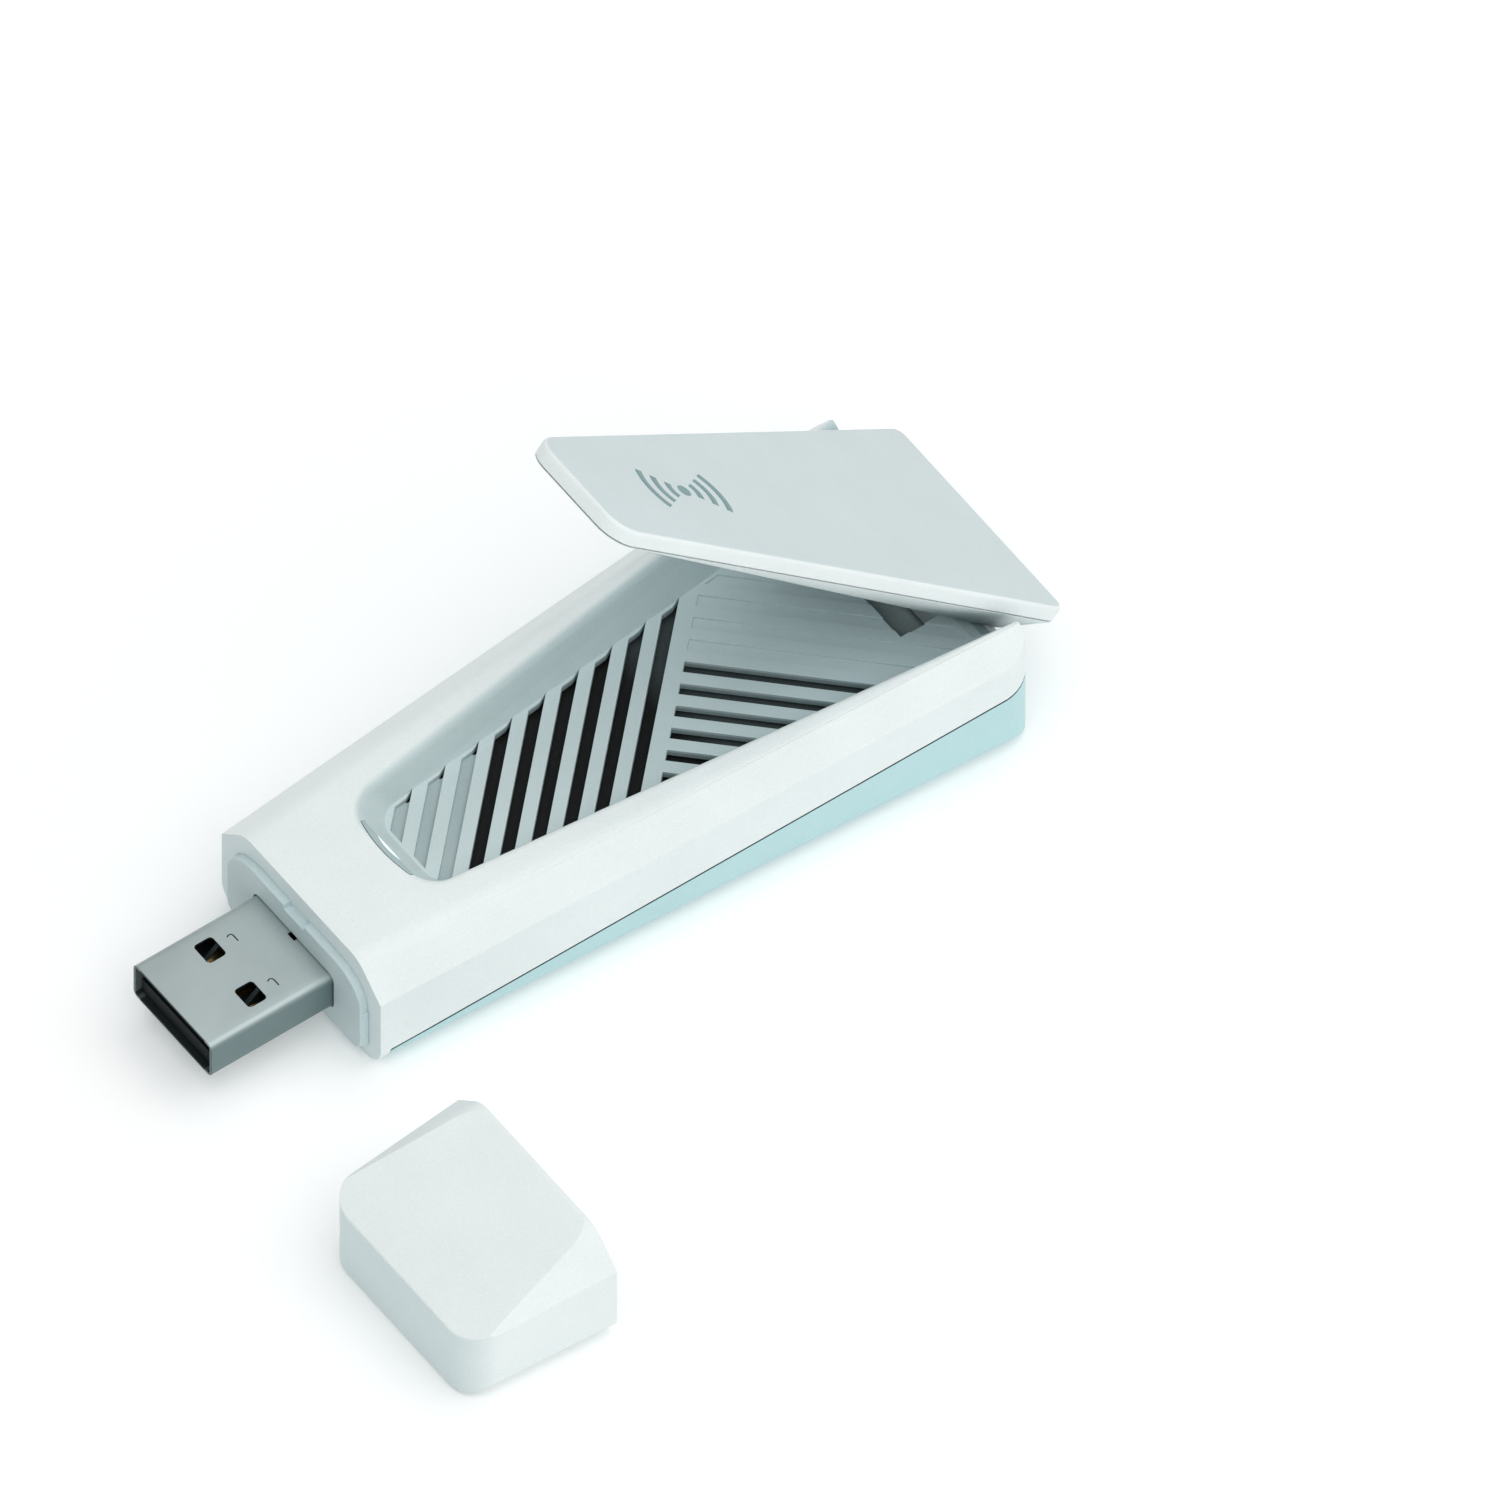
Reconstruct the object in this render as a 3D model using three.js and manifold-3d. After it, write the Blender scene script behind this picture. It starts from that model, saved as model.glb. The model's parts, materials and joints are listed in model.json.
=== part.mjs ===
// USB wireless network adapter: a tapered two-shell stick with a USB plug at its front, a pocket with a
// vent grille in its top face, a folding antenna panel hinged at its rear, and a pull-off cap.
//
// Millimetres. +X runs from the plug to the hinge, +Z is up, and +Y is the left side seen from the plug.
// The origin lies on the flat underside, below the middle of the housing.
import * as THREE from "three";
import { mergeVertices } from "three/addons/utils/BufferGeometryUtils.js";
import Module from "manifold-3d";

// ---------- driving dimensions ----------
const HOUSING_FRONT = -35.15;
const HOUSING_REAR = 36;
const FRONT_HALF_WIDTH = 12.23;
const SIDE_TAPER = 0.0618; // half-width gained per millimetre towards the hinge
const FRONT_HEIGHT = 12.6;
const TOP_RISE = 0.0352;
const CREASE_HEIGHT = 9.25; // where the upright side wall meets the sloping shoulder
const CREASE_RISE = 0.043;
const RIDGE_HALF_WIDTH = 9.7; // where the shoulder meets the top
const RIDGE_TAPER = 0.0669;
const RIDGE_DROP = 0.9;
const RIDGE_DROP_LOSS = 0.0105;
const FLAT_HALF_WIDTH = 7.5;
const FLAT_TAPER = 0.09;
const BOTTOM_RADIUS = 2.4;
const REAR_RADIUS = 4;
const REAR_LEAN = 0.13; // how far the rear face leans forward per millimetre of height
const REAR_LEAN_START = 6;
const WALL = 1.3;
const SHOULDER_SHARE = 0.41; // how far the shoulder's corners move for each millimetre of inset
const FLAT_SHARE = 0.2;
const LEAST_CORNER = 0.4;

const PARTING_HEIGHT = 5.01; // height of the line between the two shells at x = 0
const PARTING_RISE = 0.087;
const PARTING_GAP = 0.2;

const FLOOR_HEIGHT = 10.1; // pocket floor
const FLOOR_THICKNESS = 0.8;
const POCKET_FRONT = -25.65;
const POCKET_HALF_WIDTH = 5.9;
const POCKET_TAPER = 0.134;
const FLOOR_FRONT = -23.3;
const FLOOR_HALF_WIDTH = 5.1;
const FLOOR_TAPER = 0.107;
const POCKET_CORNER = 3;
const RIM_ROLL = 0.7; // how far the rim's rounding reaches out and down
const RIM_STEPS = 5;

const SLOT_PITCH = 3.62; // along the stick
const SLOT_WIDTH = 1.23; // across the slot
const SLOT_MARGIN = 0.35;
const FRONT_BLIND_DEPTH = 0.4;
const REAR_BLIND_DEPTH = 0.18;
const SLOT_TIP_REACH = 0.75; // how far the sharp far corner of a slot runs on into the pocket wall
const HERRINGBONE_LEFT = 4.71; // x - y of the last slot edge of the front group
const HERRINGBONE_RIGHT = 7.0; // x - y of the first ends of the rear group
const REAR_GROUP_FIRST = 12.95; // x + y of the far edge of the first open slot of the rear group

const COVER_FRONT = -34; // in front of this the top shell closes the housing all round
const COLLAR_FRONT = -36;
const COLLAR_HALF_WIDTH = 10.25;
const COLLAR_FLAT_HALF = 6.2; // where the top flat turns down into the shoulder
const COLLAR_LOW = 1;
const COLLAR_SIDE_TOP = 7.2;
const COLLAR_HIGH = 10.55;
const COLLAR_LOW_CORNER = 1.4;
const PLUG_WIDTH = 12;
const PLUG_HEIGHT = 4.5;
const PLUG_WALL = 0.3;
const PLUG_TIP = -49.55;
const PLUG_ROOT = -30;
const PLUG_AXIS_HEIGHT = 5.4;

const BOARD_BOTTOM = 3.9;
const BOARD_TOP = 4.9;
const BOARD_FRONT = -29.5;
const BOARD_REAR = 25.4;

const HINGE_X = 31.6;
const HINGE_Z = 4.5;
const NOTCH_FRONT = 27.4;
const NOTCH_HALF_WIDTH = 6.3;
const BARREL_RADIUS = 4;
const BARREL_HALF_LENGTH = 6;
const BORE_RADIUS = 1.75;

const FLAP_ANGLE = THREE.MathUtils.degToRad(41.4); // lift of the panel above the stick's axis
const FLAP_LENGTH = 57.1; // hinge axis to panel tip
const FLAP_OVERHANG = 3.25; // hinge axis to panel rear edge
const FLAP_HALF_WIDTH = 12.6; // at the hinge axis
const FLAP_TAPER = 0.103;
const FLAP_TOP = 10.9; // height of the panel's top face above the hinge axis
const FLAP_PARTING = 9.36;
const FLAP_CORNER = 3;
const FLAP_REAR_CORNER = 1.2;
const KEEL_BOTTOM = 5.9; // height of the panel's keel above the hinge axis, at the axis
const KEEL_RISE = 0.038;
const KEEL_LENGTH = 51.6;
const KEEL_HALF_WIDTH = 9.7;
const KEEL_TAPER = 0.096;
const FLAP_WALL = 1;

const CAP_MOUTH = -35.6;
const CAP_END = -51.3;
const CAP_TOP = 12.7;
const CAP_SLOPE = 0.28;
const CAP_CORNER = 3.65;
const CAP_WALL = 1.2;
const CAP_TOP_WALL = 0.9;
const CAP_ASIDE = -37.1; // the cap lies beside the plug

// ---------- solids ----------
const wasm = await Module();
wasm.setup();

function signedVolume(positions, index) {
  const corner = (n) => new THREE.Vector3().fromArray(positions, 3 * index[n]);
  let total = 0;
  for (let n = 0; n < index.length; n += 3) {
    total += corner(n).dot(corner(n + 1).cross(corner(n + 2))) / 6;
  }
  return total;
}

function solid(geometry) {
  const bare = geometry.clone();
  bare.deleteAttribute("normal");
  bare.deleteAttribute("uv");
  const merged = mergeVertices(bare, 1e-4);
  const positions = new Float32Array(merged.attributes.position.array);
  const index = new Uint32Array(merged.index.array);
  if (signedVolume(positions, index) < 0) {
    index.reverse();
  }
  return new wasm.Manifold(new wasm.Mesh({ numProp: 3, vertProperties: positions, triVerts: index }));
}

function geometryOf(body) {
  const mesh = body.getMesh();
  const geometry = new THREE.BufferGeometry();
  geometry.setAttribute("position", new THREE.BufferAttribute(mesh.vertProperties, 3));
  geometry.setIndex(new THREE.BufferAttribute(mesh.triVerts, 1));
  geometry.computeVertexNormals();
  return geometry;
}

function join(...bodies) {
  return bodies.reduce((whole, body) => whole.add(body));
}

function cut(body, ...tools) {
  return tools.reduce((left, tool) => left.subtract(tool), body);
}

function box(x0, x1, y0, y1, z0, z1) {
  const geometry = new THREE.BoxGeometry(x1 - x0, y1 - y0, z1 - z0);
  geometry.translate((x0 + x1) / 2, (y0 + y1) / 2, (z0 + z1) / 2);
  return solid(geometry);
}

// A round bar from one point to another, each point given as [x, y, z].
function bar(radius, from, to, sides = 20) {
  const start = new THREE.Vector3(...from);
  const end = new THREE.Vector3(...to);
  const direction = end.clone().sub(start);
  const geometry = new THREE.CylinderGeometry(radius, radius, direction.length(), sides);
  const upright = new THREE.Vector3(0, 1, 0);
  const along = direction.clone().normalize();
  geometry.applyQuaternion(new THREE.Quaternion().setFromUnitVectors(upright, along));
  const middle = start.add(end).multiplyScalar(0.5);
  geometry.translate(middle.x, middle.y, middle.z);
  return solid(geometry);
}

// A washer or sleeve whose axis is parallel to Y.
function ring(outer, inner, y0, y1, x, z) {
  const low = Math.min(y0, y1);
  const high = Math.max(y0, y1);
  return cut(bar(outer, [x, low, z], [x, high, z]), bar(inner, [x, low - 1, z], [x, high + 1, z]));
}

// Skin over convex loops of equal length, closed flat at both ends.
function loft(loops) {
  const count = loops[0].length;
  const positions = loops.flat().flatMap((point) => [point.x, point.y, point.z]);
  const index = [];
  for (let row = 0; row < loops.length - 1; row += 1) {
    for (let n = 0; n < count; n += 1) {
      const a = row * count + n;
      const b = row * count + ((n + 1) % count);
      index.push(a, b, a + count, b, b + count, a + count);
    }
  }
  const last = (loops.length - 1) * count;
  for (let n = 1; n < count - 1; n += 1) {
    index.push(0, n + 1, n, last, last + n, last + n + 1);
  }
  const geometry = new THREE.BufferGeometry();
  geometry.setAttribute("position", new THREE.Float32BufferAttribute(positions, 3));
  geometry.setIndex(index);
  return solid(geometry);
}

// A polygon in the XZ plane, [x, z] points, drawn out along Y.
function sidePrism(points, y0, y1) {
  return loft([y0, y1].map((y) => points.map(([x, z]) => new THREE.Vector3(x, y, z))));
}

// A polygon in the XY plane, [x, y] points, drawn out along Z.
function planPrism(points, z0, z1) {
  return loft([z0, z1].map((z) => points.map(([x, y]) => new THREE.Vector3(x, y, z))));
}

function arc(centreA, centreB, radius, from, to, steps) {
  const points = [];
  for (let n = 0; n <= steps; n += 1) {
    const angle = THREE.MathUtils.degToRad(from + ((to - from) * n) / steps);
    points.push([centreA + radius * Math.cos(angle), centreB + radius * Math.sin(angle)]);
  }
  return points;
}

// Both sides of a plan outline, from the [x, y] points of one side.
function mirrored(rightSide) {
  const leftSide = rightSide.map(([x, y]) => [x, -y]).reverse();
  return [...rightSide, ...leftSide];
}

// Both sides of a cross-section at x, from the [y, z] points of one side.
function sectionAt(x, rightSide) {
  const leftSide = rightSide.map(([y, z]) => [-y, z]).reverse();
  return [...rightSide, ...leftSide].map(([y, z]) => new THREE.Vector3(x, y, z));
}

// A cable along a smooth curve through the given points.
function cable(points, radius) {
  const corners = points.map((point) => new THREE.Vector3(...point));
  const curve = new THREE.CatmullRomCurve3(corners, false, "centripetal");
  const section = new THREE.Shape();
  section.absarc(0, 0, radius, 0, 2 * Math.PI);
  const settings = { steps: 5 * points.length, extrudePath: curve, curveSegments: 4, bevelEnabled: false };
  return solid(new THREE.ExtrudeGeometry(section, settings));
}

// ---------- housing form ----------
const halfWidthAt = (x) => FRONT_HALF_WIDTH + SIDE_TAPER * (x - HOUSING_FRONT);
const partingAt = (x) => PARTING_HEIGHT + PARTING_RISE * x;
const pocketHalfWidthAt = (x) => POCKET_HALF_WIDTH + POCKET_TAPER * (x - POCKET_FRONT);
const floorHalfWidthAt = (x) => FLOOR_HALF_WIDTH + FLOOR_TAPER * (x - FLOOR_FRONT);

// Cross-section of the stick at x, moved inwards by inset.
function housingSection(x, inset) {
  const along = x - HOUSING_FRONT;
  const half = halfWidthAt(x) - inset;
  const top = FRONT_HEIGHT + TOP_RISE * along - inset;
  const corner = Math.max(BOTTOM_RADIUS - inset, LEAST_CORNER);
  const drop = RIDGE_DROP - RIDGE_DROP_LOSS * along;
  const ridgeY = RIDGE_HALF_WIDTH + RIDGE_TAPER * along - SHOULDER_SHARE * inset;
  const flatY = FLAT_HALF_WIDTH + FLAT_TAPER * along - FLAT_SHARE * inset;
  const rounding = new THREE.QuadraticBezierCurve(
    new THREE.Vector2(ridgeY, top - drop),
    new THREE.Vector2(ridgeY - drop, top),
    new THREE.Vector2(Math.min(flatY, ridgeY - drop - 0.1), top),
  );
  const right = [
    ...arc(half - corner, inset + corner, corner, -90, 0, 8),
    [half, CREASE_HEIGHT + CREASE_RISE * along - SHOULDER_SHARE * inset],
    ...rounding.getPoints(8).map((point) => [point.x, point.y]),
  ];
  return sectionAt(x, right);
}

function housingForm(inset, front = HOUSING_FRONT) {
  const rear = HOUSING_REAR - inset;
  const corner = REAR_RADIUS - inset;
  const cornerX = rear - corner;
  const skin = loft([housingSection(front, inset), housingSection(HOUSING_REAR + 2, inset)]);
  const besideX = cornerX - 6;
  const plan = planPrism(
    mirrored([
      [front - 1, halfWidthAt(front - 1) + 2],
      [besideX, halfWidthAt(besideX) - inset + 2],
      ...arc(cornerX, halfWidthAt(cornerX) - inset - corner, corner, 90, 0, 10),
    ]),
    -1,
    20,
  );
  const leanTop = 20;
  const underCorner = Math.max(BOTTOM_RADIUS - inset, LEAST_CORNER);
  const side = sidePrism(
    [
      [front - 1, inset],
      ...arc(rear - underCorner, inset + underCorner, underCorner, -90, 0, 8),
      [rear, REAR_LEAN_START],
      [rear - REAR_LEAN * (leanTop - REAR_LEAN_START), leanTop],
      [front - 1, leanTop],
    ],
    -25,
    25,
  );
  return skin.intersect(plan).intersect(side);
}

// Everything below the line between the two shells and behind front, the line moved up by lift.
function belowParting(lift, front = COVER_FRONT) {
  const reach = 60;
  return sidePrism(
    [
      [front, -5],
      [reach, -5],
      [reach, partingAt(reach) + lift],
      [front, partingAt(front) + lift],
    ],
    -25,
    25,
  );
}

// The pocket's outline, rounded at the front and running out past the rear.
function pocketLoop(front, halfWidthAtX, z, grow) {
  const corner = POCKET_CORNER + grow;
  const centreX = front - grow + corner;
  const rear = HOUSING_REAR + 6;
  const half = (x) => halfWidthAtX(x) + grow;
  const right = [[rear, half(rear)], ...arc(centreX, half(centreX) - corner, corner, 90, 180, 10)];
  return mirrored(right).map(([x, y]) => [x, y, z(x)]);
}

// The pocket: sloping walls from a floor outline, rolled over at the rim and carried on above it.
function pocketForm(grow) {
  const rimHeight = (x) => FRONT_HEIGHT + TOP_RISE * (x - HOUSING_FRONT);
  const vectors = (loop) => loop.map((point) => new THREE.Vector3(...point));
  const floor = vectors(pocketLoop(FLOOR_FRONT, floorHalfWidthAt, () => FLOOR_HEIGHT - grow, grow));
  const rim = vectors(pocketLoop(POCKET_FRONT, pocketHalfWidthAt, rimHeight, grow));
  const edge = vectors(pocketLoop(POCKET_FRONT, pocketHalfWidthAt, rimHeight, grow + RIM_ROLL));
  const rolls = rim.map((corner, n) => {
    const below = corner.clone().lerp(floor[n], RIM_ROLL / (corner.z - floor[n].z));
    return new THREE.QuadraticBezierCurve3(below, corner, edge[n]).getPoints(RIM_STEPS);
  });
  const rolled = rolls[0].map((_, step) => rolls.map((points) => points[step]));
  const above = edge.map((point) => point.clone().setZ(point.z + 2));
  return loft([floor, ...rolled, above]);
}

function notchForm(grow) {
  const half = NOTCH_HALF_WIDTH + grow;
  return box(NOTCH_FRONT - grow, HOUSING_REAR + 8, -half, half, -3, FLOOR_HEIGHT + 6);
}

// The room that the rear end of the turning antenna panel sweeps through.
function panelSweep() {
  const gap = 0.25;
  const nearRadius = KEEL_BOTTOM - gap;
  const farRadius = Math.hypot(FLAP_OVERHANG, FLAP_PARTING) + gap;
  const nearHalf = KEEL_HALF_WIDTH + KEEL_TAPER * FLAP_OVERHANG + gap;
  const farHalf = FLAP_HALF_WIDTH + FLAP_TAPER * FLAP_OVERHANG + gap;
  const profile = [
    [nearRadius, -nearHalf],
    [farRadius, -farHalf],
    [farRadius + 3, -farHalf],
    [farRadius + 3, farHalf],
    [farRadius, farHalf],
    [nearRadius, nearHalf],
    [nearRadius, -nearHalf],
  ];
  const turned = new THREE.LatheGeometry(profile.map(([r, y]) => new THREE.Vector2(r, y)), 72);
  turned.translate(HINGE_X, 0, HINGE_Z);
  return solid(turned).intersect(box(HINGE_X + 1, HOUSING_REAR + 9, -20, 20, HINGE_Z + 1, 30));
}

// ---------- vent slots ----------
// A long strip between two 45 degree lines; across is measured along x - y (sign -1) or x + y (sign +1).
function diagonalStrip(sign, far, start, end, z0, z1) {
  const across = SLOT_WIDTH * Math.SQRT2;
  const corner = (sum, difference) => [(sum + difference) / 2, (sum - difference) / 2];
  const points =
    sign > 0
      ? [corner(far, start), corner(far, end), corner(far - across, end), corner(far - across, start)]
      : [corner(start, far), corner(end, far), corner(end, far - across), corner(start, far - across)];
  return planPrism(points, z0, z1);
}

// The sharp end corner of a slot, where the cut runs on into the pocket wall on that side.
function slotTip(side, far, edge) {
  const x = (far + edge(0)) / (1 - FLOOR_TAPER);
  const y = edge(x);
  const reach = SLOT_TIP_REACH / Math.SQRT2;
  const points = [
    [x - 0.3, y - 0.3],
    [x + reach, y + reach],
    [x - 0.7, y - 0.1],
    [x - 0.7, y - 0.3],
  ];
  const low = FLOOR_HEIGHT - FLOOR_THICKNESS - 1;
  return planPrism(points.map(([a, b]) => [a, side * b]), low, FLOOR_HEIGHT + 2);
}

function ventSlots() {
  const reach = 90;
  const slots = [];
  const tips = [];
  const edge = (x) => floorHalfWidthAt(x) - SLOT_MARGIN;
  const through = FLOOR_THICKNESS + 1;
  for (let n = 0; n < 9; n += 1) {
    const low = FLOOR_HEIGHT - (n > 5 ? FRONT_BLIND_DEPTH : through);
    const far = HERRINGBONE_LEFT - SLOT_PITCH * n;
    slots.push(diagonalStrip(-1, far, -reach, reach, low, FLOOR_HEIGHT + 1));
    tips.push(slotTip(1, far, edge));
  }
  for (let n = -4; n < 6; n += 1) {
    const low = FLOOR_HEIGHT - (n < 0 ? REAR_BLIND_DEPTH : through);
    const far = REAR_GROUP_FIRST - SLOT_PITCH * n;
    slots.push(diagonalStrip(1, far, HERRINGBONE_RIGHT, reach, low, FLOOR_HEIGHT + 1));
    if (n >= 0) {
      tips.push(slotTip(-1, far, edge));
    }
  }
  const rear = HOUSING_REAR - 4;
  const front = FLOOR_FRONT + SLOT_MARGIN;
  const field = planPrism(
    mirrored([
      [rear, edge(rear)],
      [front, edge(front)],
    ]),
    0,
    20,
  );
  return join(join(...slots).intersect(field), ...tips);
}

// ---------- colours ----------
const WHITE = { color: 0xe6edec, roughness: 0.5, metalness: 0 };
const PALE_BLUE = { color: 0xc4e6e8, roughness: 0.5, metalness: 0 };
const GREY_PLASTIC = { color: 0xb4c6c7, roughness: 0.5, metalness: 0 };
const FLAP_GREY = { color: 0xcdd9db, roughness: 0.45, metalness: 0 };
const STEEL = { color: 0xa3b3b3, roughness: 0.35, metalness: 0.9 };
const GOLD = { color: 0xd0a84c, roughness: 0.3, metalness: 1 };
const BLACK_PLASTIC = { color: 0x25282a, roughness: 0.5, metalness: 0 };
const BOARD_GREEN = { color: 0x1d4a38, roughness: 0.5, metalness: 0 };
const CHIP_BLACK = { color: 0x1c1d1f, roughness: 0.6, metalness: 0 };
const CERAMIC_TAN = { color: 0x9c8466, roughness: 0.6, metalness: 0 };
const TIN = { color: 0xc6c9c8, roughness: 0.4, metalness: 0.9 };
const PAD_GREY = { color: 0x8a98a8, roughness: 0.8, metalness: 0 };
const BLACK_ALUMINIUM = { color: 0x2a2d30, roughness: 0.5, metalness: 0.7 };
const CABLE_GREY = { color: 0x707579, roughness: 0.6, metalness: 0 };
const CLEAR = { color: 0xf4fbfb, roughness: 0.15, metalness: 0 };

const adapter = new THREE.Group();
const flap = new THREE.Group();
const cap = new THREE.Group();
adapter.add(flap, cap);

function place(parent, name, body, finish) {
  const mesh = new THREE.Mesh(geometryOf(body), new THREE.MeshStandardMaterial(finish));
  mesh.name = name;
  parent.add(mesh);
  return mesh;
}

// ---------- housing shells ----------
const outerForm = housingForm(0);
const innerForm = housingForm(WALL, COVER_FRONT);
const notch = notchForm(0);
const pocket = pocketForm(0);
const cavity = cut(innerForm, pocketForm(FLOOR_THICKNESS), notchForm(WALL));
const hingeHole = bar(BORE_RADIUS, [HINGE_X, -9, HINGE_Z], [HINGE_X, 9, HINGE_Z]);

const LIP_OUTER = 0.8;
const LIP_HEIGHT = 0.9;
const LIP_CLEARANCE = 0.1;
const BOARD_POSTS = [
  [-20, 8.8],
  [-20, -8.8],
  [21.5, 0],
];
const POST_RADIUS = 1.9;
const SCREW_RADIUS = 0.8;

// The light guide: an arm under the top skin and a lens that comes up through the pocket's front rim.
const GUIDE_HALF_WIDTH = 2.45;
const GUIDE_BOTTOM = 11.55;
const GUIDE_FRONT = -28.3;
const LENS_HALF_WIDTH = 3.75;
const LENS_LOW = 12.45;
const LENS_BULGE = 0.5;
const LENS_GAP = 0.07;
const LABEL = { x0: 5, x1: 25, half: 8, depth: 0.25 };

function lensForm(gap) {
  const steps = 12;
  const outline = [];
  for (let n = 0; n <= steps; n += 1) {
    const y = LENS_HALF_WIDTH * ((2 * n) / steps - 1);
    const bulge = LENS_BULGE * (1 - (y / LENS_HALF_WIDTH) ** 2);
    outline.push([POCKET_FRONT - bulge - gap, y * (1 + gap / LENS_HALF_WIDTH)]);
  }
  const rear = POCKET_FRONT + 2;
  const half = LENS_HALF_WIDTH + gap;
  return planPrism([...outline, [rear, half], [rear, -half]], LENS_LOW - gap, 20);
}

function guideArm(gap) {
  const half = GUIDE_HALF_WIDTH + gap;
  const rear = POCKET_FRONT + 1;
  return box(GUIDE_FRONT - gap, rear, -half, half, GUIDE_BOTTOM - gap, LENS_LOW + gap);
}

function topShell() {
  const rebate = housingForm(LIP_OUTER - LIP_CLEARANCE, COVER_FRONT - 1).intersect(
    belowParting(LIP_HEIGHT + LIP_CLEARANCE),
  );
  const guideSlot = join(cut(guideArm(0.1), pocketForm(0.25)), lensForm(LENS_GAP));
  const collarHole = collarForm(0.02);
  return cut(
    outerForm,
    belowParting(PARTING_GAP / 2),
    cavity,
    rebate,
    pocket,
    notch,
    ventSlots(),
    guideSlot,
    collarHole,
    panelSweep(),
  );
}

function bottomCover() {
  const coverFront = COVER_FRONT + PARTING_GAP / 2;
  const tray = cut(outerForm.intersect(belowParting(-PARTING_GAP / 2, coverFront)), cavity);
  const lipRing = cut(housingForm(LIP_OUTER, COVER_FRONT - 1), innerForm);
  const lipBand = lipRing.intersect(belowParting(LIP_HEIGHT, coverFront));
  const lip = cut(lipBand, belowParting(-0.6));
  const posts = BOARD_POSTS.map(([x, y]) => bar(POST_RADIUS, [x, y, 0.6], [x, y, BOARD_BOTTOM - 0.05], 16));
  const pilots = BOARD_POSTS.map(([x, y]) => bar(SCREW_RADIUS + 0.1, [x, y, 1.2], [x, y, BOARD_TOP], 12));
  const labelBed = box(LABEL.x0, LABEL.x1, -LABEL.half, LABEL.half, -1, LABEL.depth);
  return cut(join(tray, lip, ...posts), ...pilots, notch, hingeHole, pocket, labelBed);
}

place(adapter, "top_shell", topShell(), WHITE);
place(adapter, "bottom_cover", bottomCover(), PALE_BLUE);
place(
  adapter,
  "underside_label",
  box(LABEL.x0 + 0.15, LABEL.x1 - 0.15, -LABEL.half + 0.15, LABEL.half - 0.15, 0.05, LABEL.depth - 0.05),
  WHITE,
);

function lightGuide() {
  const arm = cut(guideArm(0), pocketForm(0.35));
  const lens = cut(lensForm(0), pocket).intersect(housingForm(0.02));
  const stem = box(GUIDE_FRONT, GUIDE_FRONT + 1, -1.2, 1.2, BOARD_TOP + 1.1, LENS_LOW);
  return join(arm, lens, stem);
}
place(adapter, "light_guide", lightGuide(), CLEAR);

// ---------- plug end ----------
const plugLow = PLUG_AXIS_HEIGHT - PLUG_HEIGHT / 2;
const plugHigh = PLUG_AXIS_HEIGHT + PLUG_HEIGHT / 2;

// A rounded rectangular bar along X, the plug's outline moved inwards by inset.
function plugBar(x0, x1, inset) {
  const half = PLUG_WIDTH / 2 - inset;
  const rise = PLUG_HEIGHT / 2 - inset;
  const corner = Math.max(0.7 - inset, 0.3);
  const right = [
    ...arc(half - corner, PLUG_AXIS_HEIGHT + corner - rise, corner, -90, 0, 6),
    ...arc(half - corner, PLUG_AXIS_HEIGHT + rise - corner, corner, 0, 90, 6),
  ];
  return loft([x0, x1].map((x) => sectionAt(x, right)));
}

// The collar's outline at x, moved inwards by inset.
function collarSection(x, inset) {
  const half = COLLAR_HALF_WIDTH - inset;
  const low = COLLAR_LOW + inset;
  const rise = COLLAR_HIGH - inset - COLLAR_SIDE_TOP;
  const corner = COLLAR_LOW_CORNER - inset;
  const shoulder = arc(0, 0, 1, 0, 90, 8).map(([across, up]) => [
    COLLAR_FLAT_HALF + (half - COLLAR_FLAT_HALF) * across,
    COLLAR_SIDE_TOP + rise * up,
  ]);
  const right = [...arc(half - corner, low + corner, corner, -90, 0, 5), ...shoulder];
  return sectionAt(x, right);
}

function collarForm(grow) {
  return loft([collarSection(COLLAR_FRONT, -grow), collarSection(COVER_FRONT + 1, -grow)]);
}

const COLLAR_EDGE = [
  [COLLAR_FRONT, 0.12],
  [COLLAR_FRONT + 0.04, 0.04],
  [COLLAR_FRONT + 0.12, 0],
  [COVER_FRONT + 0.05, 0],
];
const PLUG_SLIT = 0.16;

function frontCollar() {
  const flangeRear = COVER_FRONT + 0.9;
  const boss = loft(COLLAR_EDGE.map(([x, inset]) => collarSection(x, inset)));
  const flangeInset = WALL + 0.15;
  const flange = loft([
    housingSection(COVER_FRONT + 0.03, flangeInset),
    housingSection(flangeRear, flangeInset),
  ]);
  const sidePads = [-1, 1].map((side) => {
    const inner = side * (COLLAR_HALF_WIDTH - 0.5);
    const outer = side * (COLLAR_HALF_WIDTH + 0.22);
    return box(
      COLLAR_FRONT + 0.2,
      HOUSING_FRONT - 0.02,
      Math.min(inner, outer),
      Math.max(inner, outer),
      COLLAR_LOW + 0.9,
      COLLAR_SIDE_TOP - 0.6,
    );
  });
  const plugHole = plugBar(COLLAR_FRONT - 1, flangeRear + 1, -PLUG_SLIT);
  const notchHalf = 1.55;
  const notchFloor = COLLAR_HIGH - 0.55;
  const topNotch = box(COLLAR_FRONT - 1, HOUSING_FRONT, -notchHalf, notchHalf, notchFloor, 15);
  return cut(join(boss, flange, ...sidePads), plugHole, topNotch);
}
place(adapter, "front_collar", frontCollar(), GREY_PLASTIC);

const TONGUE_TOP = 5.4;
const CONTACT_PLACES = [-3.5, -1, 1, 3.5];
const CONTACT_TOP = TONGUE_TOP + 0.3;
const WINDOW_LENGTH = 2.05; // along the plug
const WINDOW_WIDTH = 2.5;
const WINDOW_CORNER = 0.38;
const WINDOW_X = -43.08;
const WINDOW_Y = 3.12;
const SPRING_WIDTH = 0.45;

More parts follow.
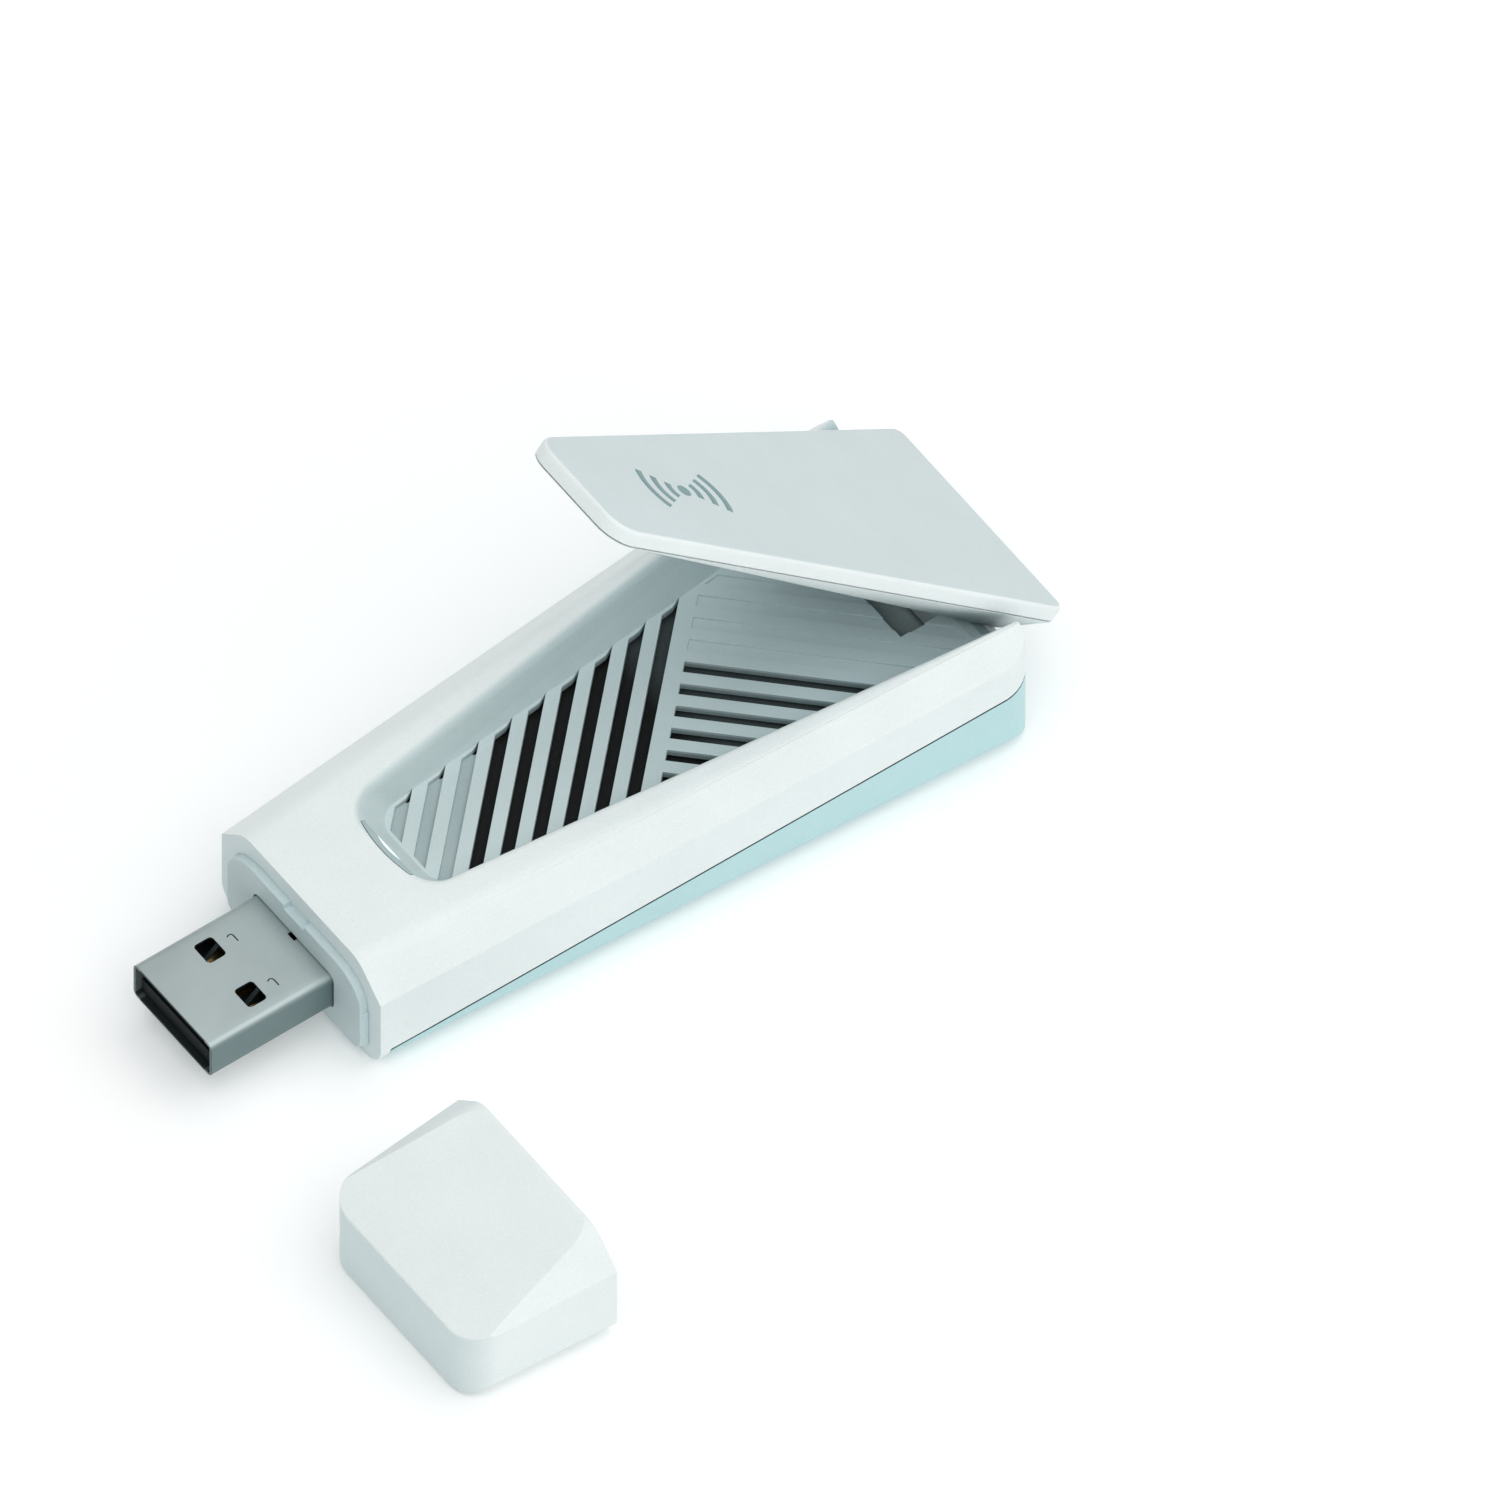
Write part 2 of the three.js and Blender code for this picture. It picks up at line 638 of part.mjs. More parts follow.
// A rounded rectangular hole through the plug's top and bottom.
function plugWindow(x, y) {
  const reachX = WINDOW_LENGTH / 2 - WINDOW_CORNER;
  const reachY = WINDOW_WIDTH / 2 - WINDOW_CORNER;
  const outline = [
    [1, 1, 0],
    [-1, 1, 90],
    [-1, -1, 180],
    [1, -1, 270],
  ].flatMap(([sideX, sideY, from]) =>
    arc(x + sideX * reachX, y + sideY * reachY, WINDOW_CORNER, from, from + 90, 4),
  );
  return planPrism(outline, -1, 12);
}

// A shallow hook-shaped stamping behind a window: a straight groove with a curled end.
function stampedHook(x, y) {
  const low = plugHigh - 0.09;
  const curl = arc(0, 0, 0.36, -10, 150, 8);
  const band = [...curl, ...arc(0, 0, 0.24, 150, -10, 8)];
  const groove = box(x + 0.24, x + 0.36, y - 0.75, y + 0.02, low, plugHigh + 1);
  const pieces = [groove];
  for (let n = 0; n < 8; n += 1) {
    const quad = [band[n], band[n + 1], band[16 - n], band[17 - n]];
    pieces.push(planPrism(quad.map(([a, b]) => [x + a, y + b]), low, plugHigh + 1));
  }
  return join(...pieces);
}

function plugShell() {
  const tube = cut(plugBar(PLUG_TIP, PLUG_ROOT, 0), plugBar(PLUG_TIP - 1, PLUG_ROOT + 1, PLUG_WALL));
  const seamNotch = box(COLLAR_FRONT - 0.3, COLLAR_FRONT + 0.4, -0.5, 0.5, plugHigh - 1, plugHigh + 1);
  const holes = [-1, 1].flatMap((side) => [
    plugWindow(WINDOW_X, side * WINDOW_Y),
    stampedHook(WINDOW_X + 2.4, side * WINDOW_Y + 0.1),
  ]);
  const springs = [-1, 1].map((side) => {
    const y = side * WINDOW_Y + 0.3;
    const top = plugHigh - PLUG_WALL / 2;
    const profile = [
      [WINDOW_X - 0.6, CONTACT_TOP + 0.25],
      [WINDOW_X - 0.45, CONTACT_TOP + 0.2],
      [WINDOW_X + 1.5, top],
      [WINDOW_X + 1.25, top],
    ];
    return sidePrism(profile, y - SPRING_WIDTH / 2, y + SPRING_WIDTH / 2);
  });
  return join(cut(tube, seamNotch, ...holes), ...springs);
}
place(adapter, "usb_shell", plugShell(), STEEL);

const BLOCK_FRONT = -35;

function usbTongue() {
  const inset = PLUG_WALL + 0.1;
  const tongue = plugBar(PLUG_TIP + 0.6, PLUG_ROOT - 0.3, inset).intersect(
    box(-60, 0, -5.5, 5.5, 0, TONGUE_TOP),
  );
  const block = plugBar(BLOCK_FRONT, PLUG_ROOT - 0.3, inset);
  const grooves = CONTACT_PLACES.map((y) => box(-60, 0, y - 0.65, y + 0.65, TONGUE_TOP, CONTACT_TOP + 0.1));
  return cut(join(tongue, block), ...grooves);
}
place(adapter, "usb_tongue", usbTongue(), BLACK_PLASTIC);

CONTACT_PLACES.forEach((y, n) => {
  const strip = box(PLUG_TIP + 1.4, -28.4, y - 0.5, y + 0.5, TONGUE_TOP + 0.08, CONTACT_TOP);
  const foot = box(-29.2, -28.4, y - 0.5, y + 0.5, BOARD_TOP + 0.05, CONTACT_TOP);
  place(adapter, `usb_contact_${n + 1}`, join(strip, foot), GOLD);
});

// ---------- electronics ----------
function mainBoard() {
  const edge = (x) => halfWidthAt(x) - WALL - 0.6;
  const plate = planPrism(
    mirrored([
      [BOARD_REAR, edge(BOARD_REAR)],
      [BOARD_FRONT, edge(BOARD_FRONT)],
    ]),
    BOARD_BOTTOM,
    BOARD_TOP,
  );
  const holes = BOARD_POSTS.map(([x, y]) => bar(1.05, [x, y, 0], [x, y, 9], 16));
  return cut(plate, ...holes);
}
place(adapter, "main_board", mainBoard(), BOARD_GREEN);

BOARD_POSTS.forEach(([x, y], n) => {
  const shaft = bar(SCREW_RADIUS, [x, y, 1.5], [x, y, BOARD_TOP + 0.4], 12);
  const head = bar(1.7, [x, y, BOARD_TOP + 0.05], [x, y, BOARD_TOP + 0.95], 20);
  const cross = join(
    box(x - 1, x + 1, y - 0.2, y + 0.2, BOARD_TOP + 0.5, BOARD_TOP + 2),
    box(x - 0.2, x + 0.2, y - 1, y + 1, BOARD_TOP + 0.5, BOARD_TOP + 2),
  );
  place(adapter, `board_screw_${n + 1}`, cut(join(shaft, head), cross), STEEL);
});

// A rectangular component standing on the board.
function component(name, x, y, length, width, height, finish) {
  const low = BOARD_TOP + 0.05;
  const body = box(x - length / 2, x + length / 2, y - width / 2, y + width / 2, low, low + height);
  place(adapter, name, body, finish);
}

const CHIP_HEIGHT = 1;
component("wifi_chip", -3, 0, 9, 9, CHIP_HEIGHT, CHIP_BLACK);
component("memory_chip", -14.5, 5.5, 5, 4, 0.9, CHIP_BLACK);
component("regulator", -14.5, -5, 3, 3, 1.1, CHIP_BLACK);
component("inductor", -19.5, 0, 4, 4, 1.8, CHIP_BLACK);
component("crystal", -12, 0.5, 3.2, 2.5, 0.8, TIN);
component("status_led", GUIDE_FRONT + 0.5, 0, 0.8, 1.6, 0.7, CLEAR);
[-6.5, -3.5, 3.5, 6.5].forEach((y, n) => {
  component(`capacitor_${n + 1}`, -25.2, y, 1.6, 0.8, 0.8, CERAMIC_TAN);
});

function radioShield() {
  const low = BOARD_TOP + 0.05;
  const can = box(5, 18, -8, 8, low, low + 1.7);
  return cut(can, box(5.2, 17.8, -7.8, 7.8, low - 1, low + 1.5));
}
place(adapter, "radio_shield", radioShield(), TIN);

const padLow = BOARD_TOP + CHIP_HEIGHT + 0.1;
const padHigh = padLow + 0.8;
place(adapter, "thermal_pad", box(-7.2, 1.2, -4.2, 4.2, padLow, padHigh), PAD_GREY);

function heatSink() {
  const base = box(-16, 17, -7.5, 7.5, padHigh + 0.05, padHigh + 0.75);
  const fins = [-6, -3, 0, 3, 6].map((y) => box(-16, 17, y - 0.35, y + 0.35, padHigh + 0.5, padHigh + 1.6));
  return join(base, ...fins);
}
place(adapter, "heat_sink", heatSink(), BLACK_ALUMINIUM);

const COAX_X = 22.6;
const COAX_Y = 6.2;
const LEAD_RADIUS = 0.5;
[
  ["left", 1],
  ["right", -1],
].forEach(([name, side]) => {
  const y = side * COAX_Y;
  const socketLow = BOARD_TOP + 0.05;
  component(`coax_socket_${name}`, COAX_X, y, 2.6, 2.6, 0.9, GOLD);
  const plugBody = bar(1.2, [COAX_X, y, socketLow + 1], [COAX_X, y, socketLow + 1.9], 16);
  place(adapter, `coax_plug_${name}`, plugBody, GOLD);
  const leadHeight = socketLow + 1.45;
  const route = [
    [COAX_X + 1.0, y + side * 1.1, leadHeight],
    [COAX_X + 2.2, side * 9, leadHeight - 0.3],
    [26.4, side * 11.4, 5.4],
    [29.4, side * 12.9, 4.7],
    [31.2, side * 12.2, HINGE_Z],
    [HINGE_X, side * 10.9, HINGE_Z],
    [HINGE_X, side * 7, HINGE_Z],
    [HINGE_X, side * 2.9, HINGE_Z],
  ];
  place(adapter, `board_lead_${name}`, cable(route, LEAD_RADIUS), CABLE_GREY);
});

// ---------- hinge hardware ----------
[
  ["left", 1],
  ["right", -1],
].forEach(([name, side]) => {
  const at = (y) => side * y;
  const groove = ring(3, 1.4, at(9.0), at(9.6), HINGE_X, HINGE_Z);
  const sleeve = cut(ring(1.65, 1.0, at(2.6), at(10.2), HINGE_X, HINGE_Z), groove);
  place(adapter, `hinge_sleeve_${name}`, sleeve, STEEL);
  place(adapter, `spring_washer_${name}`, ring(2.8, 1.8, at(7.75), at(8.85), HINGE_X, HINGE_Z), STEEL);
  const clip = cut(
    ring(2.6, 1.5, at(9.1), at(9.5), HINGE_X, HINGE_Z),
    box(HINGE_X - 0.9, HINGE_X + 0.9, -11, 11, HINGE_Z, HINGE_Z + 4),
  );
  place(adapter, `retaining_clip_${name}`, clip, STEEL);
});

// ---------- antenna panel ----------
// Its own frame has the hinge axis at its origin, x towards the rear and z up out of the panel.
flap.position.set(HINGE_X, 0, HINGE_Z);
flap.rotation.y = FLAP_ANGLE;

// Outline of the panel: half-width at the hinge, taper, tip and rear distances and the two corner
// radii, at height z(x).
function flapLoop(halfAtHinge, taper, tip, rear, corner, rearCorner, z) {
  const half = (x) => halfAtHinge + taper * x;
  const steps = 9;
  const right = [
    ...arc(rear - rearCorner, half(rear - rearCorner) - rearCorner, rearCorner, 0, 90, steps),
    ...arc(corner - tip, half(corner - tip) - corner, corner, 90, 180, steps),
  ];
  return mirrored(right).map(([x, y]) => new THREE.Vector3(x, y, z(x)));
}

const panelLoop = (inset, z) =>
  flapLoop(
    FLAP_HALF_WIDTH - inset,
    FLAP_TAPER,
    FLAP_LENGTH - inset,
    FLAP_OVERHANG - inset,
    Math.max(FLAP_CORNER - inset, 0.5),
    Math.max(FLAP_REAR_CORNER - inset, 0.5),
    () => z,
  );
const keelLoop = (inset, lift) =>
  flapLoop(
    KEEL_HALF_WIDTH - inset,
    KEEL_TAPER,
    KEEL_LENGTH - inset,
    FLAP_OVERHANG - inset,
    Math.max(FLAP_CORNER - inset, 0.5),
    Math.max(FLAP_CORNER - inset, 0.5),
    (x) => KEEL_BOTTOM + lift - KEEL_RISE * x,
  );

const FLAP_GAP = 0.16;
const COVER_EDGE_RADIUS = 0.45;
const COVER_ROUNDING = [
  [0, FLAP_PARTING],
  ...arc(0, 0, COVER_EDGE_RADIUS, 0, 90, 5).map(([across, up]) => [
    COVER_EDGE_RADIUS - across,
    FLAP_TOP - COVER_EDGE_RADIUS + up,
  ]),
];

function flapShell() {
  const rim = FLAP_PARTING - FLAP_GAP;
  const outside = loft([keelLoop(0, 0), panelLoop(0, rim)]);
  const inside = loft([keelLoop(FLAP_WALL, FLAP_WALL), panelLoop(FLAP_WALL, rim + 0.4)]);
  const barrel = bar(BARREL_RADIUS, [0, -BARREL_HALF_LENGTH, 0], [0, BARREL_HALF_LENGTH, 0], 40);
  const neck = box(-3.2, FLAP_OVERHANG, -BARREL_HALF_LENGTH, BARREL_HALF_LENGTH, 0, KEEL_BOTTOM + 0.5);
  const ribs = [-1, 1].map((side) => {
    const near = Math.min(side * 1.6, side * 5.2);
    return box(-9.4, -8.4, near, near + 3.6, KEEL_BOTTOM + 0.5, 8.62);
  });
  const bore = bar(BORE_RADIUS, [0, -9, 0], [0, 9, 0]);
  const channel = box(-0.9, 0.9, -2.2, 2.2, 0, KEEL_BOTTOM + 2);
  return cut(join(cut(outside, inside), barrel, neck, ...ribs), bore, channel);
}
place(flap, "flap_shell", flapShell(), WHITE);

function flapCover() {
  const plate = loft(COVER_ROUNDING.map(([inset, z]) => panelLoop(inset, z)));
  const lipTop = FLAP_PARTING + 0.3;
  const lipBottom = FLAP_PARTING - 0.45;
  const lipOuter = [panelLoop(FLAP_WALL + 2.1, lipBottom), panelLoop(FLAP_WALL + 0.9, lipTop)];
  const lipInner = [panelLoop(FLAP_WALL + 2.8, lipBottom - 1), panelLoop(FLAP_WALL + 2.8, lipTop + 1)];
  const tipRelief = box(-FLAP_LENGTH, -34, -12, 12, lipBottom - 1, FLAP_PARTING);
  const lip = cut(loft(lipOuter), loft(lipInner));
  return join(plate, cut(lip, tipRelief));
}
place(flap, "flap_cover", flapCover(), FLAP_GREY);

const ANTENNA_LOW = 8.72;
const ANTENNA_HIGH = 9.2;
[
  ["left", 1],
  ["right", -1],
].forEach(([name, side]) => {
  const inner = side * 0.8;
  const outer = side * 4.6;
  const board = box(-44, -5.5, Math.min(inner, outer), Math.max(inner, outer), ANTENNA_LOW, ANTENNA_HIGH);
  place(flap, `antenna_board_${name}`, board, BOARD_GREEN);
  const route = [
    [0, side * 2.3, 0],
    [0, side * 1.5, 0.35],
    [0, side * 1.15, 1.6],
    [0, side * 1.15, 6.4],
    [-1.2, side * 1.6, 7.9],
    [-4, side * 2.6, 8.05],
    [-7, side * 3, 8.1],
  ];
  place(flap, `antenna_lead_${name}`, cable(route, 0.45), CABLE_GREY);
});

// ---------- cap ----------
cap.position.y = CAP_ASIDE;

function capForm(inset, topInset, mouth) {
  const end = CAP_END + inset;
  const corner = CAP_CORNER - inset;
  const centreX = end + corner;
  const skin = loft([housingSection(mouth, inset), housingSection(end - 1, inset)]);
  const endCorner = arc(centreX, halfWidthAt(centreX) - inset - corner, corner, 90, 180, 10);
  const plan = planPrism(mirrored([[mouth + 1, halfWidthAt(mouth) + 1], ...endCorner]), -1, 20);
  const topAt = (x) => CAP_TOP + CAP_SLOPE * (x - CAP_MOUTH) - topInset;
  const side = sidePrism(
    [
      [end - 2, -1],
      [mouth + 1, -1],
      [mouth + 1, topAt(mouth + 1)],
      [end - 2, topAt(end - 2)],
    ],
    -25,
    25,
  );
  return skin.intersect(plan).intersect(side);
}
const capInside = capForm(CAP_WALL, CAP_TOP_WALL, CAP_MOUTH + 0.5);
place(cap, "cap", cut(capForm(0, 0, CAP_MOUTH), capInside), WHITE);

export default adapter;
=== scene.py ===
import json
import math

import bmesh
import bpy
from mathutils import Matrix, Vector


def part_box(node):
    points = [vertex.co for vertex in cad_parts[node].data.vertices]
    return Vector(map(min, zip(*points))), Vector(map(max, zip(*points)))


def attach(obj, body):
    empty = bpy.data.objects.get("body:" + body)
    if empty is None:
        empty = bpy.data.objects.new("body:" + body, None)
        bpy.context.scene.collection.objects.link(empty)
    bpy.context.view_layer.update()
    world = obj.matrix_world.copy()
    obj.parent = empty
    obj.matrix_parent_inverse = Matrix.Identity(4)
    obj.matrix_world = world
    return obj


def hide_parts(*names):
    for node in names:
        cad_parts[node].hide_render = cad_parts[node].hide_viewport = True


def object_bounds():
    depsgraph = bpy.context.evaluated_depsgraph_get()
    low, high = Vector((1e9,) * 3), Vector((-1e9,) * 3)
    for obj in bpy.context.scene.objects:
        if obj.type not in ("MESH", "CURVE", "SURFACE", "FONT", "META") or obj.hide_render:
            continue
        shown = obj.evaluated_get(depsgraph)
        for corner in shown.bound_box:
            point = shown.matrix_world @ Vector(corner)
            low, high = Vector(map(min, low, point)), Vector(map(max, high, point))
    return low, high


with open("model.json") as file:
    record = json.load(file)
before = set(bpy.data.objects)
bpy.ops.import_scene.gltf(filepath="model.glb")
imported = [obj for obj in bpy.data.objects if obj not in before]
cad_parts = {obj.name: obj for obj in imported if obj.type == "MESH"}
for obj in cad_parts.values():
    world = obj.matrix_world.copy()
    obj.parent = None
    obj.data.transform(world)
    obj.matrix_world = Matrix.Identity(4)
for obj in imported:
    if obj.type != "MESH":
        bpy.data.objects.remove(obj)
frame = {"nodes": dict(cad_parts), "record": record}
cad_low, cad_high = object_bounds()

# A USB wireless adapter. Metres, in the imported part's frame: +X from the plug to the hinge, +Z up.
MM = 0.001

# ---------- sizes ----------
HINGE = Vector((31.6, 0, 4.5)) * MM
PANEL_LIFT = math.radians(41.4)
PANEL_TOP = 10.9 * MM  # height of the panel's top face above the hinge axis

VIEW_AZIMUTH = math.radians(36.05)
VIEW_ELEVATION = math.radians(52.475)
VIEW_WIDTH = 0.1358
VIEW_CENTRE = Vector((10.9, -5.8, 5.4)) * MM
CAMERA_DISTANCE = 0.5

POCKET_FRONT = -25.65 * MM
POCKET_HALF_WIDTH = 9.34 * MM  # half the pocket's width at x = 0
POCKET_TAPER = 0.134  # half-width gained per metre towards the hinge
POCKET_CORNER = 3 * MM
POCKET_UNDERSIDE = 9.3 * MM
PARTING_HEIGHT = 5.01 * MM  # the line between the housing's two shells at x = 0
PARTING_RISE = 0.087
COVER_FRONT = -34 * MM
END_FACE = -35.1 * MM
CAP_END = -51.3 * MM
CAP_CORNER = 3.65 * MM
CAP_TOP = 22.668 * MM  # height of the cap's sloping top, carried on to x = 0
CAP_TOP_SLOPE = 0.28
BLIND_SLOT_FLOOR = 9.7 * MM

PLUG_AXIS = 5.4 * MM
LENS_HIGHLIGHT_HALF = 2.5 * MM  # the painted highlight on the light guide, glowing by emission, is a thin crescent
LENS_HIGHLIGHT_DEPTH = 0.6 * MM

# The dark film below the grille stands in for the shade seen through the slots.
FILM_LOW = 8.7 * MM
FILM_HIGH = 8.85 * MM
FILM_FRONT = -22.5 * MM
FILM_REAR = 25.5 * MM
FILM_FRONT_HALF = 5.6 * MM  # half-width at the film's front end
FILM_REAR_HALF = 10.2 * MM
FILM_CORNER = 2 * MM

MARK_CENTRE = Vector((-41.2, 0.2, 0)) * MM  # along and across the panel, from the hinge
MARK_ARC_POINTS = 25
MARK_DOT_SIDES = 40

FLOOR_REACH = 1.6
FLOOR_RISE = 0.9
FLOOR_BEND = 0.5  # how much further out the floor goes while it rises
FLOOR_GAP = 0.2 * MM
FLOOR_RINGS = 24
FLOOR_SIDES = 64
FLOOR_GLOW = 0.14

KEY_DIRECTION = (0.1, -0.24, 0.95)
KEY_DISTANCE = 1.3
KEY_SIZE = 2.0
KEY_POWER = 18.6
SKY_STRENGTH = 0.28
SKY_COLOUR = (0.97, 0.99, 1.0, 1.0)

CRISP_ANGLE = math.radians(38)
SMOOTH_ANGLE = math.radians(22)
CAP_SMOOTH_ANGLE = math.radians(11.5)
BEVEL_SEGMENTS = 2
WELD_DISTANCE = 0.002 * MM
FLAT_ANGLE = math.radians(0.4)

# ---------- fades ----------
# Where a painted shade starts and where it has ended. Each pair goes to Finish.ramp as its low and
# high.
POCKET_EDGE_FADE = (-0.1 * MM, 0.45 * MM)  # inwards from the pocket's outline
POCKET_FAR_SIDE_FADE = (-2 * MM, 2 * MM)  # the painted shade reaches further out on the far side
POCKET_FAR_SIDE_REACH = 0.6 * MM
POCKET_LENGTH_FADE = (-22 * MM, 22 * MM)
UNDERSIDE_FADE = 0.1 * MM
BLIND_SLOT_FADE = (0.05 * MM, 0.12 * MM)  # above the blind slots' floor
END_FACE_FADE = 0.03 * MM
SEAM_FADE = (0.1 * MM, 0.13 * MM)  # away from the parting line
COVER_FRONT_FADE = 0.1 * MM
CAP_END_SHARE = 0.7  # share of the cap's corner that the end's painted shade reaches
CAP_TOP_FADE = (-0.3 * MM, -0.1 * MM)  # up to the cap's sloping top
KEEL_HEIGHT_FADE = (6.5 * MM, 9.3 * MM)  # above the hinge axis, square to the panel
KEEL_LENGTH_FADE = (-24 * MM, -6 * MM)  # along the panel
LEDGE_FADE = (-35.98 * MM, -35.88 * MM)
PANEL_TOP_FADE = (-0.06 * MM, -0.015 * MM)  # up to the panel's top face
FILM_LENGTH_FADE = (5 * MM, 8 * MM)
PLUG_INSIDE_WIDTH_FADE = (5.66 * MM, 5.74 * MM)  # the plug's fades go out from its axis
PLUG_INSIDE_HEIGHT_FADE = (1.93 * MM, 2 * MM)
PLUG_PRESSED_WIDTH_FADE = (4.9 * MM, 5 * MM)
PLUG_PRESSED_HEIGHT_FADE = (2.21 * MM, 2.235 * MM)
PLUG_SIDE_FADE = (5.75 * MM, 6 * MM)
PLUG_MOUTH_FADE = (-49.54 * MM, -49.5 * MM)

# ---------- colours and painted shades ---
WHITE = (0.83, 0.89, 0.885)
# The rest are painted shade, laid over part of a finish by position; each multiplies its own colour.
POCKET_FRONT_SHADE = (0.7, 0.76, 0.77, 1.0)
POCKET_REAR_SHADE = (0.64, 0.73, 0.755, 1.0)
BLIND_SLOT_SHADE = (0.66, 0.7, 0.71, 1.0)
END_FACE_SHADE = (0.8, 0.85, 0.86, 1.0)
SEAM_SHADE = (0.14, 0.17, 0.18, 1.0)
CAP_END_SHADE = (0.78, 0.84, 0.85, 1.0)
KEEL_FRONT_SHADE = (0.84, 0.87, 0.875, 1.0)
KEEL_REAR_SHADE = (0.4, 0.45, 0.46, 1.0)
COLLAR_FACE_SHADE = (0.84, 0.84, 0.84, 1.0)
PANEL_TOP_SHADE = (0.745, 0.785, 0.8, 1.0)
PLUG_SIDE_SHADE = (0.4, 0.47, 0.48, 1.0)
PLUG_INSIDE_SHADE = (0.08, 0.1, 0.105, 1.0)
PLUG_MOUTH_SHADE = (0.4, 0.42, 0.43, 1.0)
FILM_FRONT_SHADE = (0.1, 0.1, 0.1, 1.0)


# ---------- shader building ----------
class Wire:
    """A shader socket that takes part in Python arithmetic."""

    def __init__(self, finish, socket):
        self.finish = finish
        self.socket = socket

    def __add__(self, other):
        return self.finish.maths("ADD", self, other)

    __radd__ = __add__

    def __sub__(self, other):
        return self.finish.maths("SUBTRACT", self, other)

    def __rsub__(self, other):
        return self.finish.maths("SUBTRACT", other, self)

    def __mul__(self, other):
        return self.finish.maths("MULTIPLY", self, other)

    __rmul__ = __mul__

    def __pow__(self, other):
        return self.finish.maths("POWER", self, other)

    def __abs__(self):
        return self.finish.maths("ABSOLUTE", self, 0.0)


class Finish:
    """One procedural material, built around a Principled surface."""

    def __init__(self, name, colour, roughness, metallic=0.0):
        self.material = bpy.data.materials.new(name)
        self.material.use_nodes = True
        self.tree = self.material.node_tree
        self.tree.nodes.clear()
        self.surface = self.tree.nodes.new("ShaderNodeBsdfPrincipled")
        output = self.tree.nodes.new("ShaderNodeOutputMaterial")
        self.tree.links.new(self.surface.outputs[0], output.inputs["Surface"])
        self.colour = (*colour, 1.0)
        self.surface.inputs["Base Color"].default_value = self.colour
        self.surface.inputs["Roughness"].default_value = roughness
        self.surface.inputs["Metallic"].default_value = metallic
        self.material.diffuse_color = self.colour

    def node(self, kind, settings, inputs, output=0):
        """Adds a node, gives it its settings and then its inputs, and returns one output."""
        made = self.tree.nodes.new(kind)
        for name, value in settings.items():
            if name == "stops":
                self.set_stops(made.color_ramp, value)
            else:
                setattr(made, name, value)
        for name, value in inputs.items():
            self.feed(made.inputs[name], value)
        return Wire(self, made.outputs[output])

    def set_stops(self, ramp, stops):
        while len(ramp.elements) < len(stops):
            ramp.elements.new(1.0)
        for element, (place, value) in zip(ramp.elements, stops):
            element.position = place
            element.color = (value, value, value, 1.0)

    def feed(self, socket, value):
        if isinstance(value, Wire):
            self.tree.links.new(value.socket, socket)
        else:
            socket.default_value = value

    def maths(self, operation, first, second, clamp=False):
        settings = {"operation": operation, "use_clamp": clamp}
        return self.node("ShaderNodeMath", settings, {0: first, 1: second})

    def where(self, scale=(1.0, 1.0, 1.0)):
        """The point on the object, stretched by scale."""
        point = self.node("ShaderNodeTexCoord", {}, {}, "Object")
        return self.node("ShaderNodeMapping", {}, {"Vector": point, "Scale": scale})

    def axis(self, letter):
        """One coordinate of the point on the object, in metres."""
        point = self.node("ShaderNodeTexCoord", {}, {}, "Object")
        return self.node("ShaderNodeSeparateXYZ", {}, {"Vector": point}, letter)

    def noise(self, size, scale=(1.0, 1.0, 1.0), detail=2.0):
        """Soft noise from 0 to 1, whose features are about size metres across."""
        inputs = {"Vector": self.where(scale), "Scale": 1.0 / size, "Detail": detail}
        return self.node("ShaderNodeTexNoise", {}, inputs, "Fac")

    def steps(self, value, stops):
        """Value through a black and white ramp of (place, brightness) stops."""
        return self.node("ShaderNodeValToRGB", {"stops": stops}, {"Fac": value})

    def mix(self, factor, first, second, blend="MIX"):
        """A colour between first and second."""
        settings = {"data_type": "RGBA", "blend_type": blend}
        inputs = {0: factor, 6: first, 7: second}
        return self.node("ShaderNodeMix", settings, inputs, 2)

    def ramp(self, value, low, high):
        """0 where value is at low, 1 where it is at high, straight between."""
        share = (value - low) * (1.0 / (high - low))
        return self.maths("ADD", share, 0.0, clamp=True)

    def repaint(self, factor, shade):
        """Multiplies the finish's colour by a shade, by a factor from 0 to 1."""
        paint = Wire(self, self.surface.inputs["Base Color"].links[0].from_socket)
        return self.set(Base_Color=self.mix(factor, paint, shade, "MULTIPLY"))

    def tinted(self, share):
        """The finish's own colour, made lighter or darker by a share."""
        return (*(min(1.0, c * (1 + share)) for c in self.colour[:3]), 1.0)

    def set(self, **inputs):
        for name, value in inputs.items():
            self.feed(self.surface.inputs[name.replace("_", " ")], value)
        return self

    def relief(self, height, depth):
        """Fine relief over the surface, depth metres deep."""
        inputs = {"Height": height, "Distance": depth, "Strength": 1.0}
        self.feed(self.surface.inputs["Normal"], self.node("ShaderNodeBump", {}, inputs))
        return self


# ---------- finishes ----------
def moulded_plastic(name, colour, roughness, grain=0.14 * MM, depth=0.012 * MM):
    """Moulded plastic: a fine grain, faint clouding and uneven polish."""
    finish = Finish(name, colour, roughness)
    clouds = finish.noise(9 * MM, detail=3.0)
    speck = finish.noise(grain, detail=3.0)
    shade = finish.steps(clouds * 0.35 + speck * 0.65, [(0.32, 0.0), (0.68, 1.0)])
    finish.set(Base_Color=finish.mix(shade, finish.tinted(-0.06), finish.tinted(0.05)))
    finish.set(Roughness=clouds * 0.08 + (roughness - 0.04))
    finish.set(IOR=1.46)
    return finish.relief(speck, depth)


def gap_shade_mask(finish):
    """Where the painted shade goes: 1 in the narrow gap between the top shell and the bottom cover."""
    along = finish.axis("X")
    off = finish.axis("Z") - along * PARTING_RISE - PARTING_HEIGHT
    gap = 1.0 - finish.ramp(abs(off), *SEAM_FADE)
    return gap * finish.ramp(along, COVER_FRONT - COVER_FRONT_FADE, COVER_FRONT)


